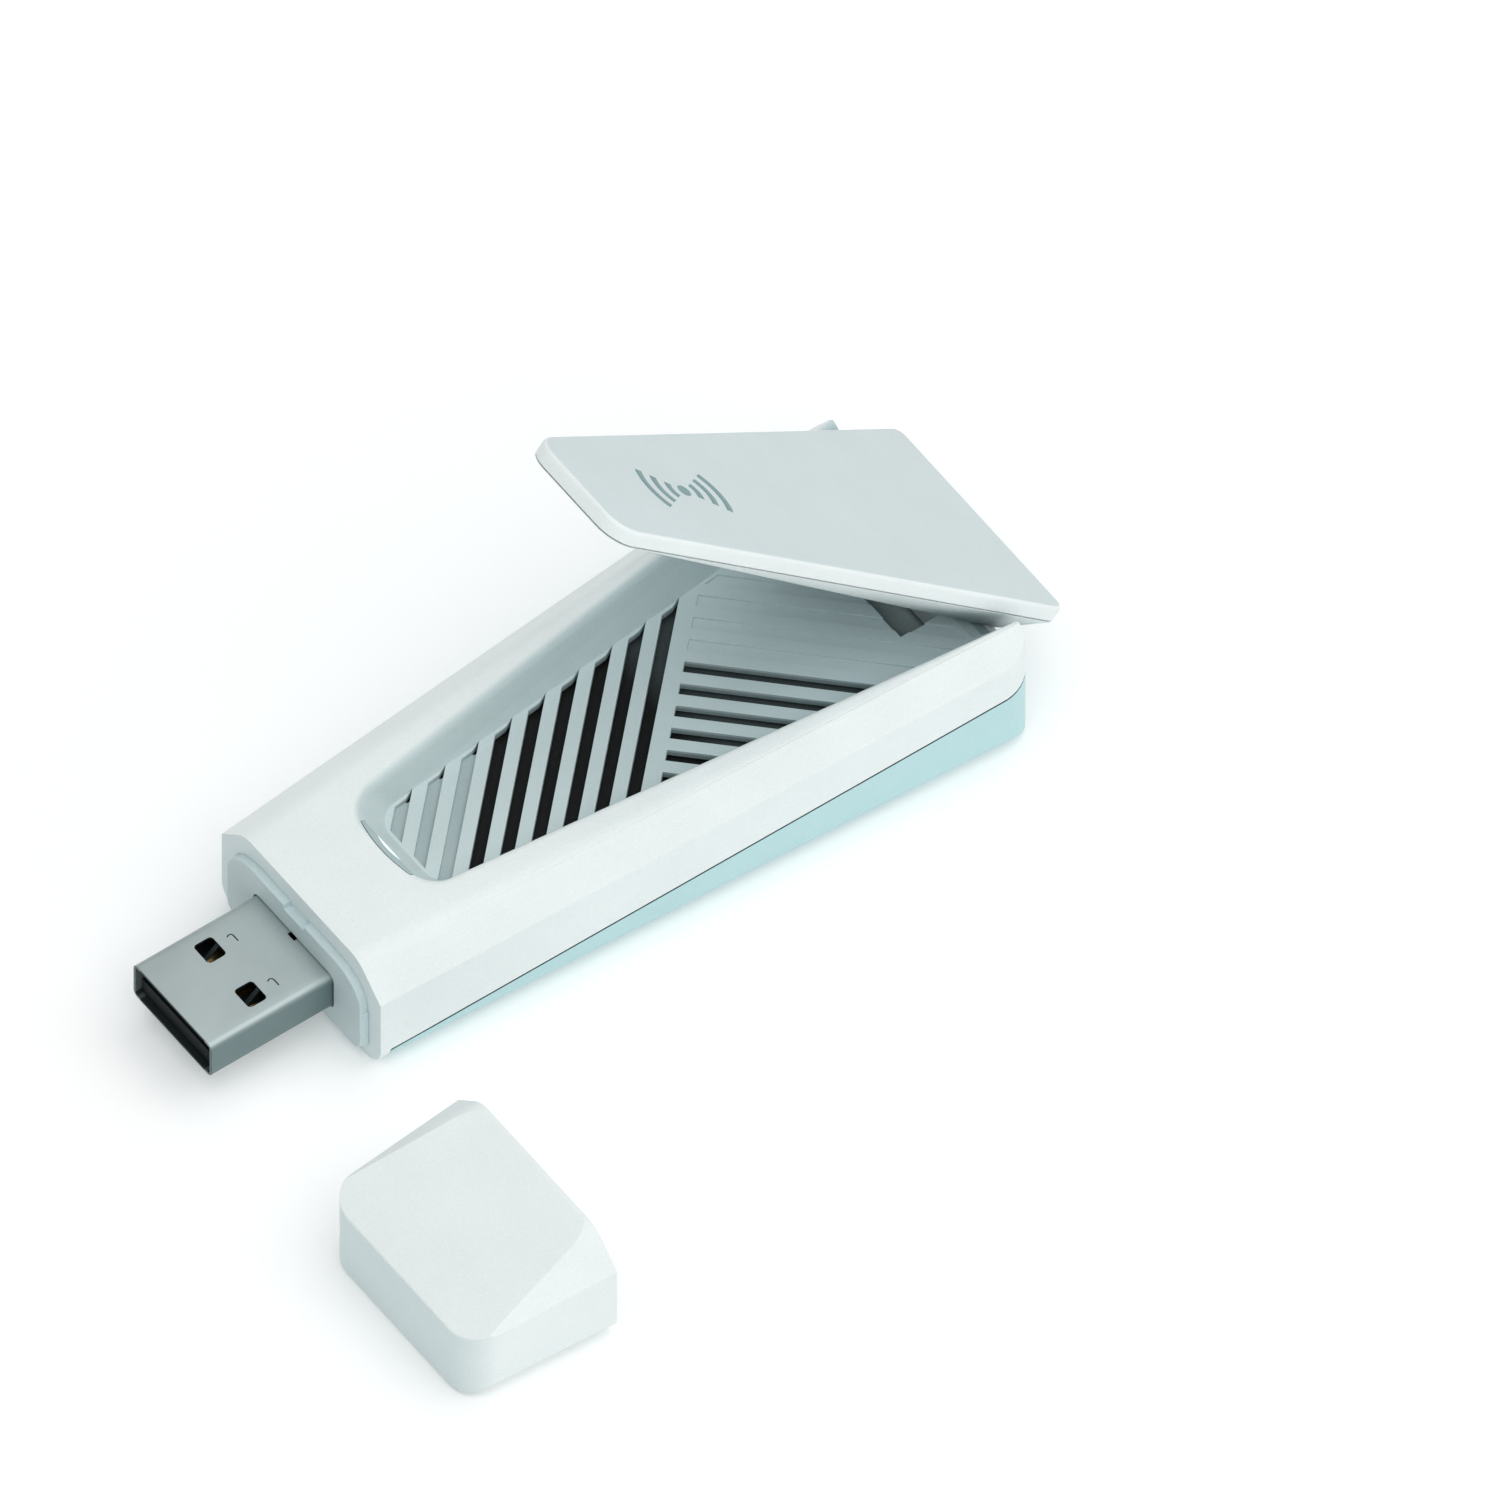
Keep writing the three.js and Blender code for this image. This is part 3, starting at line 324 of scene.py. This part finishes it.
def plug_shade_mask(finish):
    """Where the painted shade goes: 1 inside the plug's shell and in the marks pressed into it, 0 on
    its outside.
    """
    across = abs(finish.axis("Y"))
    up = abs(finish.axis("Z") - PLUG_AXIS)
    inside_width = 1.0 - finish.ramp(across, *PLUG_INSIDE_WIDTH_FADE)
    inside_height = 1.0 - finish.ramp(up, *PLUG_INSIDE_HEIGHT_FADE)
    pressed_width = 1.0 - finish.ramp(across, *PLUG_PRESSED_WIDTH_FADE)
    pressed_height = 1.0 - finish.ramp(up, *PLUG_PRESSED_HEIGHT_FADE)
    return finish.maths("MAXIMUM", inside_width * inside_height, pressed_width * pressed_height)


def pocket_shade_mask(finish):
    """Where the painted shade goes: 1 on the walls and grille of the panel's pocket, 0 on the outside
    of the housing.
    """
    x, y, z = (finish.axis(letter) for letter in "XYZ")
    from_side = x * POCKET_TAPER + POCKET_HALF_WIDTH - abs(y)
    from_front = x - POCKET_FRONT
    into_side = finish.maths("MAXIMUM", POCKET_CORNER - from_side, 0.0)
    into_front = finish.maths("MAXIMUM", POCKET_CORNER - from_front, 0.0)
    inside = POCKET_CORNER - (into_side * into_side + into_front * into_front) ** 0.5
    above = finish.ramp(z, POCKET_UNDERSIDE - UNDERSIDE_FADE, POCKET_UNDERSIDE)
    far_side = finish.ramp(y, *POCKET_FAR_SIDE_FADE) * POCKET_FAR_SIDE_REACH
    return finish.ramp(inside + far_side, *POCKET_EDGE_FADE) * above


def shell_plastic():
    """The housing's white plastic, with painted shade in its pocket, its blind slots, on its front end
    and in its parting gap.
    """
    finish = moulded_plastic("shell_plastic", WHITE, 0.48)
    # Painted shade: the pocket's walls and grille are darkened, more towards its rear.
    rearwards = finish.ramp(finish.axis("X"), *POCKET_LENGTH_FADE)
    grey = finish.mix(rearwards, POCKET_FRONT_SHADE, POCKET_REAR_SHADE)
    pocket = pocket_shade_mask(finish)
    finish.repaint(pocket, grey)
    # Painted shade on the sunk floors of the blind slots in the pocket.
    sunk = 1.0 - finish.ramp(finish.axis("Z") - BLIND_SLOT_FLOOR, *BLIND_SLOT_FADE)
    finish.repaint(sunk * pocket, BLIND_SLOT_SHADE)
    # Painted shade on the housing's front end face.
    front_end = 1.0 - finish.ramp(finish.axis("X"), END_FACE - END_FACE_FADE, END_FACE)
    finish.repaint(front_end, END_FACE_SHADE)
    # Painted shade in the parting gap between the shells.
    return finish.repaint(gap_shade_mask(finish), SEAM_SHADE)


def cap_plastic():
    """The cap's white plastic, with painted shade on its end face."""
    finish = moulded_plastic("cap_plastic", WHITE, 0.48)
    along = finish.axis("X")
    end = 1.0 - finish.ramp(along, CAP_END, CAP_END + CAP_CORNER * CAP_END_SHARE)
    below_top = finish.axis("Z") - along * CAP_TOP_SLOPE - CAP_TOP
    upright = 1.0 - finish.ramp(below_top, *CAP_TOP_FADE)
    # Painted shade on the cap's end face, up to its sloping top.
    return finish.repaint(end * upright, CAP_END_SHADE)


def keel_plastic():
    """The white plastic under the panel, with painted shade darkening it towards the hinge."""
    finish = moulded_plastic("keel_plastic", WHITE, 0.5)
    x, z = finish.axis("X") - HINGE.x, finish.axis("Z") - HINGE.z
    along = x * math.cos(PANEL_LIFT) - z * math.sin(PANEL_LIFT)
    height = x * math.sin(PANEL_LIFT) + z * math.cos(PANEL_LIFT)
    under = 1.0 - finish.ramp(height, *KEEL_HEIGHT_FADE)
    # Painted shade under the panel, deepest near the hinge.
    shade = finish.mix(finish.ramp(along, *KEEL_LENGTH_FADE), KEEL_FRONT_SHADE, KEEL_REAR_SHADE)
    return finish.repaint(under, shade)


def collar_plastic():
    """Grey plug collar, with painted shade on its front face, darker than the ledge behind it."""
    finish = moulded_plastic("grey_plastic", (0.62, 0.74, 0.755), 0.5)
    ledge = finish.ramp(finish.axis("X"), *LEDGE_FADE)
    # Painted shade on the collar's front face.
    return finish.repaint(1.0 - ledge, COLLAR_FACE_SHADE)


def cover_plastic():
    """The pale blue plastic of the bottom cover, with painted shade in its parting gap."""
    finish = moulded_plastic("cover_plastic", (0.5, 0.735, 0.755), 0.46)
    return finish.repaint(gap_shade_mask(finish), SEAM_SHADE)


def panel_plastic():
    """The panel's cover: white, with painted shade greying its top face inside the rounded edge."""
    finish = moulded_plastic("panel_plastic", WHITE, 0.42, grain=0.12 * MM)
    height = finish.axis("X") * math.sin(PANEL_LIFT) + finish.axis("Z") * math.cos(PANEL_LIFT)
    level = PANEL_TOP + HINGE.x * math.sin(PANEL_LIFT) + HINGE.z * math.cos(PANEL_LIFT)
    top = finish.ramp(height, *(level + step for step in PANEL_TOP_FADE))
    # Painted shade on the panel's top face.
    return finish.repaint(top, PANEL_TOP_SHADE)


def tongue_plastic():
    """The plug's dull black tongue."""
    return moulded_plastic("black_plastic", (0.006, 0.009, 0.01), 0.6).set(Specular_IOR_Level=0.15)


def satin_metal(name, colour, roughness, metallic=1.0):
    """Sheet metal with fine lines along X and faint mottling."""
    finish = Finish(name, colour, roughness, metallic)
    lines = finish.noise(0.05 * MM, (0.06, 1.0, 1.0), 4.0)
    clouds = finish.noise(3 * MM, detail=3.0)
    shade = finish.steps(lines * 0.35 + clouds * 0.65, [(0.3, 0.0), (0.7, 1.0)])
    finish.set(Base_Color=finish.mix(shade, finish.tinted(-0.05), finish.tinted(0.03)))
    finish.set(Roughness=lines * 0.12 + clouds * 0.06 + (roughness - 0.09))
    return finish.relief(lines, 0.002 * MM)


def plug_steel():
    """The plug's steel, with painted shade down its sides, inside it and round its mouth."""
    finish = satin_metal("plug_steel", (0.46, 0.53, 0.53), 0.5, metallic=0.75)
    # Painted shade down the plug's sides, inside its shell, in its pressed marks and on its mouth.
    side = finish.ramp(abs(finish.axis("Y")), *PLUG_SIDE_FADE)
    finish.repaint(side, PLUG_SIDE_SHADE)
    finish.repaint(plug_shade_mask(finish), PLUG_INSIDE_SHADE)
    mouth = 1.0 - finish.ramp(finish.axis("X"), *PLUG_MOUTH_FADE)
    return finish.repaint(mouth, PLUG_MOUTH_SHADE)


def mottled(name, colour, roughness, size, depth, contrast=0.08, metallic=0.0):
    """A finely mottled surface: one grain drives colour, polish and relief."""
    finish = Finish(name, colour, roughness, metallic)
    grain = finish.noise(size, detail=4.0)
    finish.set(Base_Color=finish.mix(grain, finish.tinted(-contrast), finish.tinted(contrast)))
    finish.set(Roughness=grain * 0.1 + (roughness - 0.05))
    return finish.relief(grain, depth)


def solder_mask():
    """Green lacquer over copper tracks that show as low, paler ridges."""
    finish = Finish("circuit_board", (0.012, 0.085, 0.05), 0.42)
    inputs = {"Vector": finish.where((1.0, 1.0, 0.0)), "Scale": 420.0, "Distortion": 0.0}
    tracks = finish.node("ShaderNodeTexWave", {"bands_direction": "Y"}, inputs, "Fac")
    inputs = {"Vector": finish.where(), "Scale": 260.0}
    cells = finish.node("ShaderNodeTexVoronoi", {"distance": "MANHATTAN"}, inputs)
    copper = finish.steps(tracks, [(0.62, 0.0), (0.7, 1.0)])
    broken = copper * finish.steps(cells, [(0.35, 1.0), (0.4, 0.0)])
    finish.set(Base_Color=finish.mix(broken, finish.colour, (0.03, 0.2, 0.11, 1.0)))
    finish.set(Coat_Weight=0.3, Coat_Roughness=0.25)
    return finish.relief(broken, 0.03 * MM)


def highlighted_lens():
    """The frosted light guide, with a painted highlight glowing by emission in a thin crescent where it
    meets the pocket.
    """
    finish = Finish("clear_plastic", (0.42, 0.52, 0.53), 0.35)
    away = finish.axis("Y") * (1.0 / LENS_HIGHLIGHT_HALF)
    reach = (1.0 - away * away) * LENS_HIGHLIGHT_DEPTH
    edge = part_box("light_guide")[1][0]
    painted_highlight = finish.ramp(finish.axis("X") + reach, edge - 0.05 * MM, edge + 0.05 * MM)
    frost = finish.noise(0.2 * MM, detail=3.0)
    finish.set(Base_Color=finish.mix(frost, finish.tinted(-0.05), finish.tinted(0.05)))
    # Painted highlight: the crescent glows by emission.
    finish.set(Emission_Color=finish.mix(painted_highlight, (0.0, 0.0, 0.0, 1.0), (0.93, 1.0, 1.0, 1.0)))
    finish.set(Emission_Strength=0.75)
    return finish.relief(frost, 0.004 * MM)


def shade_film_finish():
    """Dark film standing in for shade below the grille: painted shade makes it black under the front
    slots, greyer under the rear ones.
    """
    finish = mottled("shade_film", (0.05, 0.068, 0.072), 0.9, 0.2 * MM, 0.03 * MM, 0.3)
    # Painted shade: the film is black under the front slots.
    front = 1.0 - finish.ramp(finish.axis("X"), *FILM_LENGTH_FADE)
    return finish.repaint(front, FILM_FRONT_SHADE)


def printed_ink():
    """Printed ink with a faint grain."""
    finish = Finish("mark_ink", (0.2, 0.325, 0.335), 0.5)
    cover = finish.noise(0.12 * MM, detail=4.0)
    finish.set(Base_Color=finish.mix(cover, finish.tinted(-0.06), finish.tinted(0.08)))
    return finish.relief(cover, 0.003 * MM)


FINISHES = {
    "white_plastic": moulded_plastic("white_plastic", WHITE, 0.48),
    "shell_plastic": shell_plastic(),
    "pale_blue_plastic": cover_plastic(),
    "panel_plastic": panel_plastic(),
    "grey_plastic": collar_plastic(),
    "cap_plastic": cap_plastic(),
    "keel_plastic": keel_plastic(),
    "black_plastic": tongue_plastic(),
    "label_film": mottled("label_film", (0.82, 0.85, 0.85), 0.4, 1.5 * MM, 0.004 * MM, 0.015),
    "clear_plastic": highlighted_lens(),
    "plug_steel": plug_steel(),
    "plated_steel": satin_metal("plated_steel", (0.66, 0.67, 0.68), 0.32),
    "gold_plating": satin_metal("gold_plating", (0.83, 0.6, 0.24), 0.26),
    "tinned_metal": satin_metal("tinned_metal", (0.62, 0.63, 0.62), 0.38),
    "circuit_board": solder_mask(),
    "chip_epoxy": mottled("chip_epoxy", (0.014, 0.014, 0.015), 0.62, 0.12 * MM, 0.008 * MM),
    "ferrite": mottled("ferrite", (0.025, 0.025, 0.027), 0.7, 0.2 * MM, 0.02 * MM),
    "ceramic_tan": mottled("ceramic_tan", (0.35, 0.24, 0.13), 0.5, 0.15 * MM, 0.006 * MM),
    "silicone_pad": mottled("silicone_pad", (0.26, 0.32, 0.4), 0.85, 0.3 * MM, 0.02 * MM),
    "black_aluminium": mottled(
        "black_aluminium", (0.012, 0.014, 0.016), 0.6, 0.1 * MM, 0.006 * MM, contrast=0.15, metallic=0.4
    ),
    "coax_jacket": mottled("coax_jacket", (0.16, 0.17, 0.18), 0.5, 0.25 * MM, 0.006 * MM),
    "shade_film": shade_film_finish(),
    "mark_ink": printed_ink(),
}

slot_of_node = {part["node"]: part["material_slot"] for part in frame["record"]["subparts"]}
body_of_node = {}
for body_name, members in frame["record"]["behaviour"]["bodies"].items():
    for member in members:
        body_of_node[member] = body_name


def coat(piece, finish_name):
    """Gives a piece one finish all over."""
    piece.data.materials.clear()
    piece.data.materials.append(FINISHES[finish_name].material)


for node_name, node_object in frame["nodes"].items():
    coat(node_object, slot_of_node[node_name])


# ---------- shapes ----------
def add_piece(name, mesh, body, finish_name):
    """Adds a mesh as a piece with a finish, riding on a body."""
    piece = bpy.data.objects.new(name, mesh)
    bpy.context.scene.collection.objects.link(piece)
    coat(piece, finish_name)
    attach(piece, body)
    return piece


def soften(piece, width):
    """Rounds the crisp edges of a piece and evens out its shading."""
    bevel = piece.modifiers.new("edge_rounding", "BEVEL")
    bevel.limit_method = "ANGLE"
    bevel.angle_limit = CRISP_ANGLE
    bevel.width = width
    bevel.segments = BEVEL_SEGMENTS
    bevel.use_clamp_overlap = False
    bevel.harden_normals = True


def refine(node_name, width, smooth_angle):
    """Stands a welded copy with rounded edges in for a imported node."""
    source = frame["nodes"][node_name]
    work = bmesh.new()
    work.from_mesh(source.data)
    bmesh.ops.remove_doubles(work, verts=work.verts, dist=WELD_DISTANCE)
    bmesh.ops.dissolve_limit(work, angle_limit=FLAT_ANGLE, verts=work.verts, edges=work.edges)
    for face in work.faces:
        face.smooth = True
    for edge in work.edges:
        edge.smooth = len(edge.link_faces) == 2 and edge.calc_face_angle(0.0) < smooth_angle
    mesh = bpy.data.meshes.new(node_name + "_surface")
    work.to_mesh(mesh)
    work.free()
    slot_name = slot_of_node[node_name]
    surface = SURFACES.get(node_name, slot_name)
    piece = add_piece("fine_" + node_name, mesh, body_of_node[node_name], surface)
    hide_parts(node_name)
    soften(piece, width)


SURFACES = {"top_shell": "shell_plastic", "cap": "cap_plastic", "flap_shell": "keel_plastic"}
# For each node, the width of its edge rounding and the angle up to which faces run together.
REFINED_NODES = {
    "top_shell": (0.035 * MM, SMOOTH_ANGLE),
    "bottom_cover": (0.035 * MM, SMOOTH_ANGLE),
    "front_collar": (0.05 * MM, SMOOTH_ANGLE),
    "flap_shell": (0.06 * MM, SMOOTH_ANGLE),
    "flap_cover": (0.04 * MM, SMOOTH_ANGLE),
    "cap": (0.08 * MM, CAP_SMOOTH_ANGLE),
    "usb_shell": (0.025 * MM, SMOOTH_ANGLE),
    "usb_tongue": (0.06 * MM, SMOOTH_ANGLE),
    "underside_label": (0.03 * MM, SMOOTH_ANGLE),
}
for refined_name, (edge_width, smoothing) in REFINED_NODES.items():
    refine(refined_name, edge_width, smoothing)


# ---------- dark film under the vent grille, standing in for the shade below it ---
def shade_film():
    """A thin dark film just below the grille, following the pocket's tapered floor, standing in for the
    shade seen through the slots.
    """
    outline = [
        (FILM_REAR, -FILM_REAR_HALF),
        (FILM_REAR, FILM_REAR_HALF),
        (FILM_FRONT + FILM_CORNER, FILM_FRONT_HALF),
        (FILM_FRONT, FILM_FRONT_HALF - FILM_CORNER),
        (FILM_FRONT, FILM_CORNER - FILM_FRONT_HALF),
        (FILM_FRONT + FILM_CORNER, -FILM_FRONT_HALF),
    ]
    work = bmesh.new()
    face = work.faces.new([work.verts.new((x, y, FILM_LOW)) for x, y in outline])
    raised = bmesh.ops.extrude_face_region(work, geom=[face])
    lifted = [item for item in raised["geom"] if isinstance(item, bmesh.types.BMVert)]
    bmesh.ops.translate(work, verts=lifted, vec=(0, 0, FILM_HIGH - FILM_LOW))
    bmesh.ops.recalc_face_normals(work, faces=work.faces)
    mesh = bpy.data.meshes.new("shade_film")
    work.to_mesh(mesh)
    work.free()
    add_piece("shade_film", mesh, "housing", "shade_film")


shade_film()


# ---------- printed mark ----------
MARK_INPUTS = {
    "Arc Count": ("NodeSocketInt", 3),
    "First Radius": ("NodeSocketFloat", 1.9 * MM),
    "Radius Step": ("NodeSocketFloat", 1.6 * MM),
    "Half Angle": ("NodeSocketFloat", math.radians(30)),
    "Line Width": ("NodeSocketFloat", 0.72 * MM),
    "Ink Thickness": ("NodeSocketFloat", 0.012 * MM),
    "Dot Radius": ("NodeSocketFloat", 0.75 * MM),
}


class Tree:
    """A geometry node tree with named inputs."""

    def __init__(self, name, inputs):
        self.tree = bpy.data.node_groups.new(name, "GeometryNodeTree")
        sockets = self.tree.interface
        sockets.new_socket(name="Geometry", in_out="INPUT", socket_type="NodeSocketGeometry")
        for label, (kind, value) in inputs.items():
            sockets.new_socket(name=label, in_out="INPUT", socket_type=kind).default_value = value
        sockets.new_socket(name="Geometry", in_out="OUTPUT", socket_type="NodeSocketGeometry")
        self.start = self.tree.nodes.new("NodeGroupInput")
        self.end = self.tree.nodes.new("NodeGroupOutput")

    def given(self, label):
        return self.start.outputs[label]

    def node(self, kind, settings, inputs):
        """Adds a node with its settings and inputs, and returns its first output."""
        made = self.tree.nodes.new(kind)
        for name, value in settings.items():
            setattr(made, name, value)
        for name, value in inputs.items():
            sources = value if isinstance(value, list) else [value]
            for source in sources:
                if isinstance(source, bpy.types.NodeSocket):
                    self.tree.links.new(source, made.inputs[name])
                else:
                    made.inputs[name].default_value = source
        return made.outputs[0]

    def maths(self, operation, first, second):
        return self.node("ShaderNodeMath", {"operation": operation}, {0: first, 1: second})

    def finish(self, geometry, material):
        """Ends the tree with real geometry in one material."""
        real = self.node("GeometryNodeRealizeInstances", {}, {"Geometry": geometry})
        painted = self.node("GeometryNodeSetMaterial", {}, {"Geometry": real, "Material": material})
        self.tree.links.new(painted, self.end.inputs["Geometry"])
        return self.tree


def mark_tree():
    """A dot with arcs spreading from it to both sides, as a flat printed ribbon."""
    tree = Tree("signal_mark", MARK_INPUTS)
    count = tree.given("Arc Count")
    points = tree.node("GeometryNodeMeshLine", {}, {"Count": count, "Offset": (0.0, 0.0, 0.0)})
    index = tree.node("GeometryNodeInputIndex", {}, {})
    step = tree.maths("MULTIPLY", index, tree.given("Radius Step"))
    radius = tree.maths("ADD", step, tree.given("First Radius"))
    size = tree.node("ShaderNodeCombineXYZ", {}, {"X": radius, "Y": radius, "Z": radius})
    half = tree.given("Half Angle")
    arc = tree.node(
        "GeometryNodeCurveArc",
        {"mode": "RADIUS"},
        {
            "Resolution": MARK_ARC_POINTS,
            "Radius": 1.0,
            "Start Angle": tree.maths("MULTIPLY", half, -1.0),
            "Sweep Angle": tree.maths("MULTIPLY", half, 2.0),
        },
    )
    arcs = tree.node(
        "GeometryNodeInstanceOnPoints", {}, {"Points": points, "Instance": arc, "Scale": size}
    )
    lines = tree.node("GeometryNodeRealizeInstances", {}, {"Geometry": arcs})
    width = tree.given("Line Width")
    thickness = tree.given("Ink Thickness")
    section = tree.node(
        "GeometryNodeCurvePrimitiveQuadrilateral", {}, {"Width": width, "Height": thickness}
    )
    ribbon = tree.node(
        "GeometryNodeCurveToMesh", {}, {"Curve": lines, "Profile Curve": section, "Fill Caps": True}
    )
    opposite = tree.node(
        "GeometryNodeTransform", {}, {"Geometry": ribbon, "Rotation": (0.0, 0.0, math.pi)}
    )
    dot = tree.node(
        "GeometryNodeMeshCylinder",
        {},
        {"Vertices": MARK_DOT_SIDES, "Radius": tree.given("Dot Radius"), "Depth": thickness},
    )
    whole = tree.node("GeometryNodeJoinGeometry", {}, {"Geometry": [ribbon, opposite, dot]})
    return tree.finish(whole, FINISHES["mark_ink"].material)


def made_by_tree(name, tree, inputs):
    """Evaluates a node tree once and returns its result as a plain mesh."""
    carrier = bpy.data.objects.new(name + "_carrier", bpy.data.meshes.new(name + "_carrier"))
    bpy.context.scene.collection.objects.link(carrier)
    modifier = carrier.modifiers.new(name, "NODES")
    modifier.node_group = tree
    for item in tree.interface.items_tree:
        if item.in_out == "INPUT" and item.name in inputs:
            modifier[item.identifier] = inputs[item.name][1]
    graph = bpy.context.evaluated_depsgraph_get()
    mesh = bpy.data.meshes.new_from_object(carrier.evaluated_get(graph))
    mesh.name = name
    carrier.modifiers.remove(modifier)
    bpy.data.objects.remove(carrier)
    return mesh


def signal_mark():
    """The printed mark, laid on the panel's top face."""
    mesh = made_by_tree("signal_mark", mark_tree(), MARK_INPUTS)
    lift = Vector((0, 0, PANEL_TOP + MARK_INPUTS["Ink Thickness"][1] / 2))
    onto_panel = Matrix.Translation(HINGE) @ Matrix.Rotation(PANEL_LIFT, 4, "Y")
    mesh.transform(onto_panel @ Matrix.Translation(MARK_CENTRE + lift))
    add_piece("signal_mark", mesh, "antenna_panel", "mark_ink")


signal_mark()


# ---------- stage ----------
def stage_floor():
    """A wide pale floor just below the lowest piece, curving up far away on every side."""
    low = cad_low.z - FLOOR_GAP
    work = bmesh.new()
    rings = []
    for step in range(FLOOR_RINGS + 1):
        angle = math.radians(90) * step / FLOOR_RINGS
        out = FLOOR_REACH + FLOOR_BEND * math.sin(angle)
        up = FLOOR_RISE * (1 - math.cos(angle))
        ring = []
        for n in range(FLOOR_SIDES):
            turn = 2 * math.pi * n / FLOOR_SIDES
            ring.append(work.verts.new((out * math.cos(turn), out * math.sin(turn), low + up)))
        rings.append(ring)
    work.faces.new(rings[0])
    for inner, outer in zip(rings, rings[1:]):
        for n in range(FLOOR_SIDES):
            following = (n + 1) % FLOOR_SIDES
            work.faces.new((inner[n], outer[n], outer[following], inner[following]))
    mesh = bpy.data.meshes.new("floor")
    work.to_mesh(mesh)
    work.free()
    for polygon in mesh.polygons:
        polygon.use_smooth = True
    floor = bpy.data.objects.new("floor", mesh)
    bpy.context.scene.collection.objects.link(floor)
    paint = Finish("floor_paint", (0.93, 0.94, 0.94), 0.9)
    tone = paint.noise(0.25, detail=2.0)
    paint.set(Base_Color=paint.mix(tone, paint.tinted(-0.006), paint.tinted(0.006)))
    paint.set(Emission_Color=(1.0, 1.0, 1.0, 1.0), Emission_Strength=FLOOR_GLOW)
    paint.set(Specular_IOR_Level=0.1)
    floor.data.materials.append(paint.material)


def soft_lamp(name, direction, distance, size, power):
    """A square area lamp that shines on the object from a direction."""
    lamp = bpy.data.lights.new(name, "AREA")
    lamp.size = size
    lamp.energy = power
    holder = bpy.data.objects.new(name, lamp)
    bpy.context.scene.collection.objects.link(holder)
    away = Vector(direction).normalized()
    holder.location = away * distance
    holder.rotation_mode = "QUATERNION"
    holder.rotation_quaternion = away.to_track_quat("Z", "Y")


def daylight(strength):
    """An even pale light from all round."""
    world = bpy.data.worlds.new("studio")
    bpy.context.scene.world = world
    world.use_nodes = True
    background = world.node_tree.nodes["Background"]
    background.inputs["Color"].default_value = SKY_COLOUR
    background.inputs["Strength"].default_value = strength


def place_camera():
    """An orthographic camera that looks down on the plug's right-hand side."""
    lens = bpy.data.cameras.new("camera")
    lens.type = "ORTHO"
    lens.ortho_scale = VIEW_WIDTH
    lens.clip_start = 0.01
    lens.clip_end = 10
    camera = bpy.data.objects.new("camera", lens)
    bpy.context.scene.collection.objects.link(camera)
    back = Vector(
        (
            -math.sin(VIEW_AZIMUTH) * math.cos(VIEW_ELEVATION),
            -math.cos(VIEW_AZIMUTH) * math.cos(VIEW_ELEVATION),
            math.sin(VIEW_ELEVATION),
        )
    )
    camera.location = VIEW_CENTRE + back * CAMERA_DISTANCE
    camera.rotation_mode = "QUATERNION"
    camera.rotation_quaternion = back.to_track_quat("Z", "Y")
    bpy.context.scene.camera = camera


stage_floor()
soft_lamp("key", KEY_DIRECTION, KEY_DISTANCE, KEY_SIZE, KEY_POWER)
daylight(SKY_STRENGTH)
place_camera()
bpy.context.scene.view_settings.view_transform = "Standard"
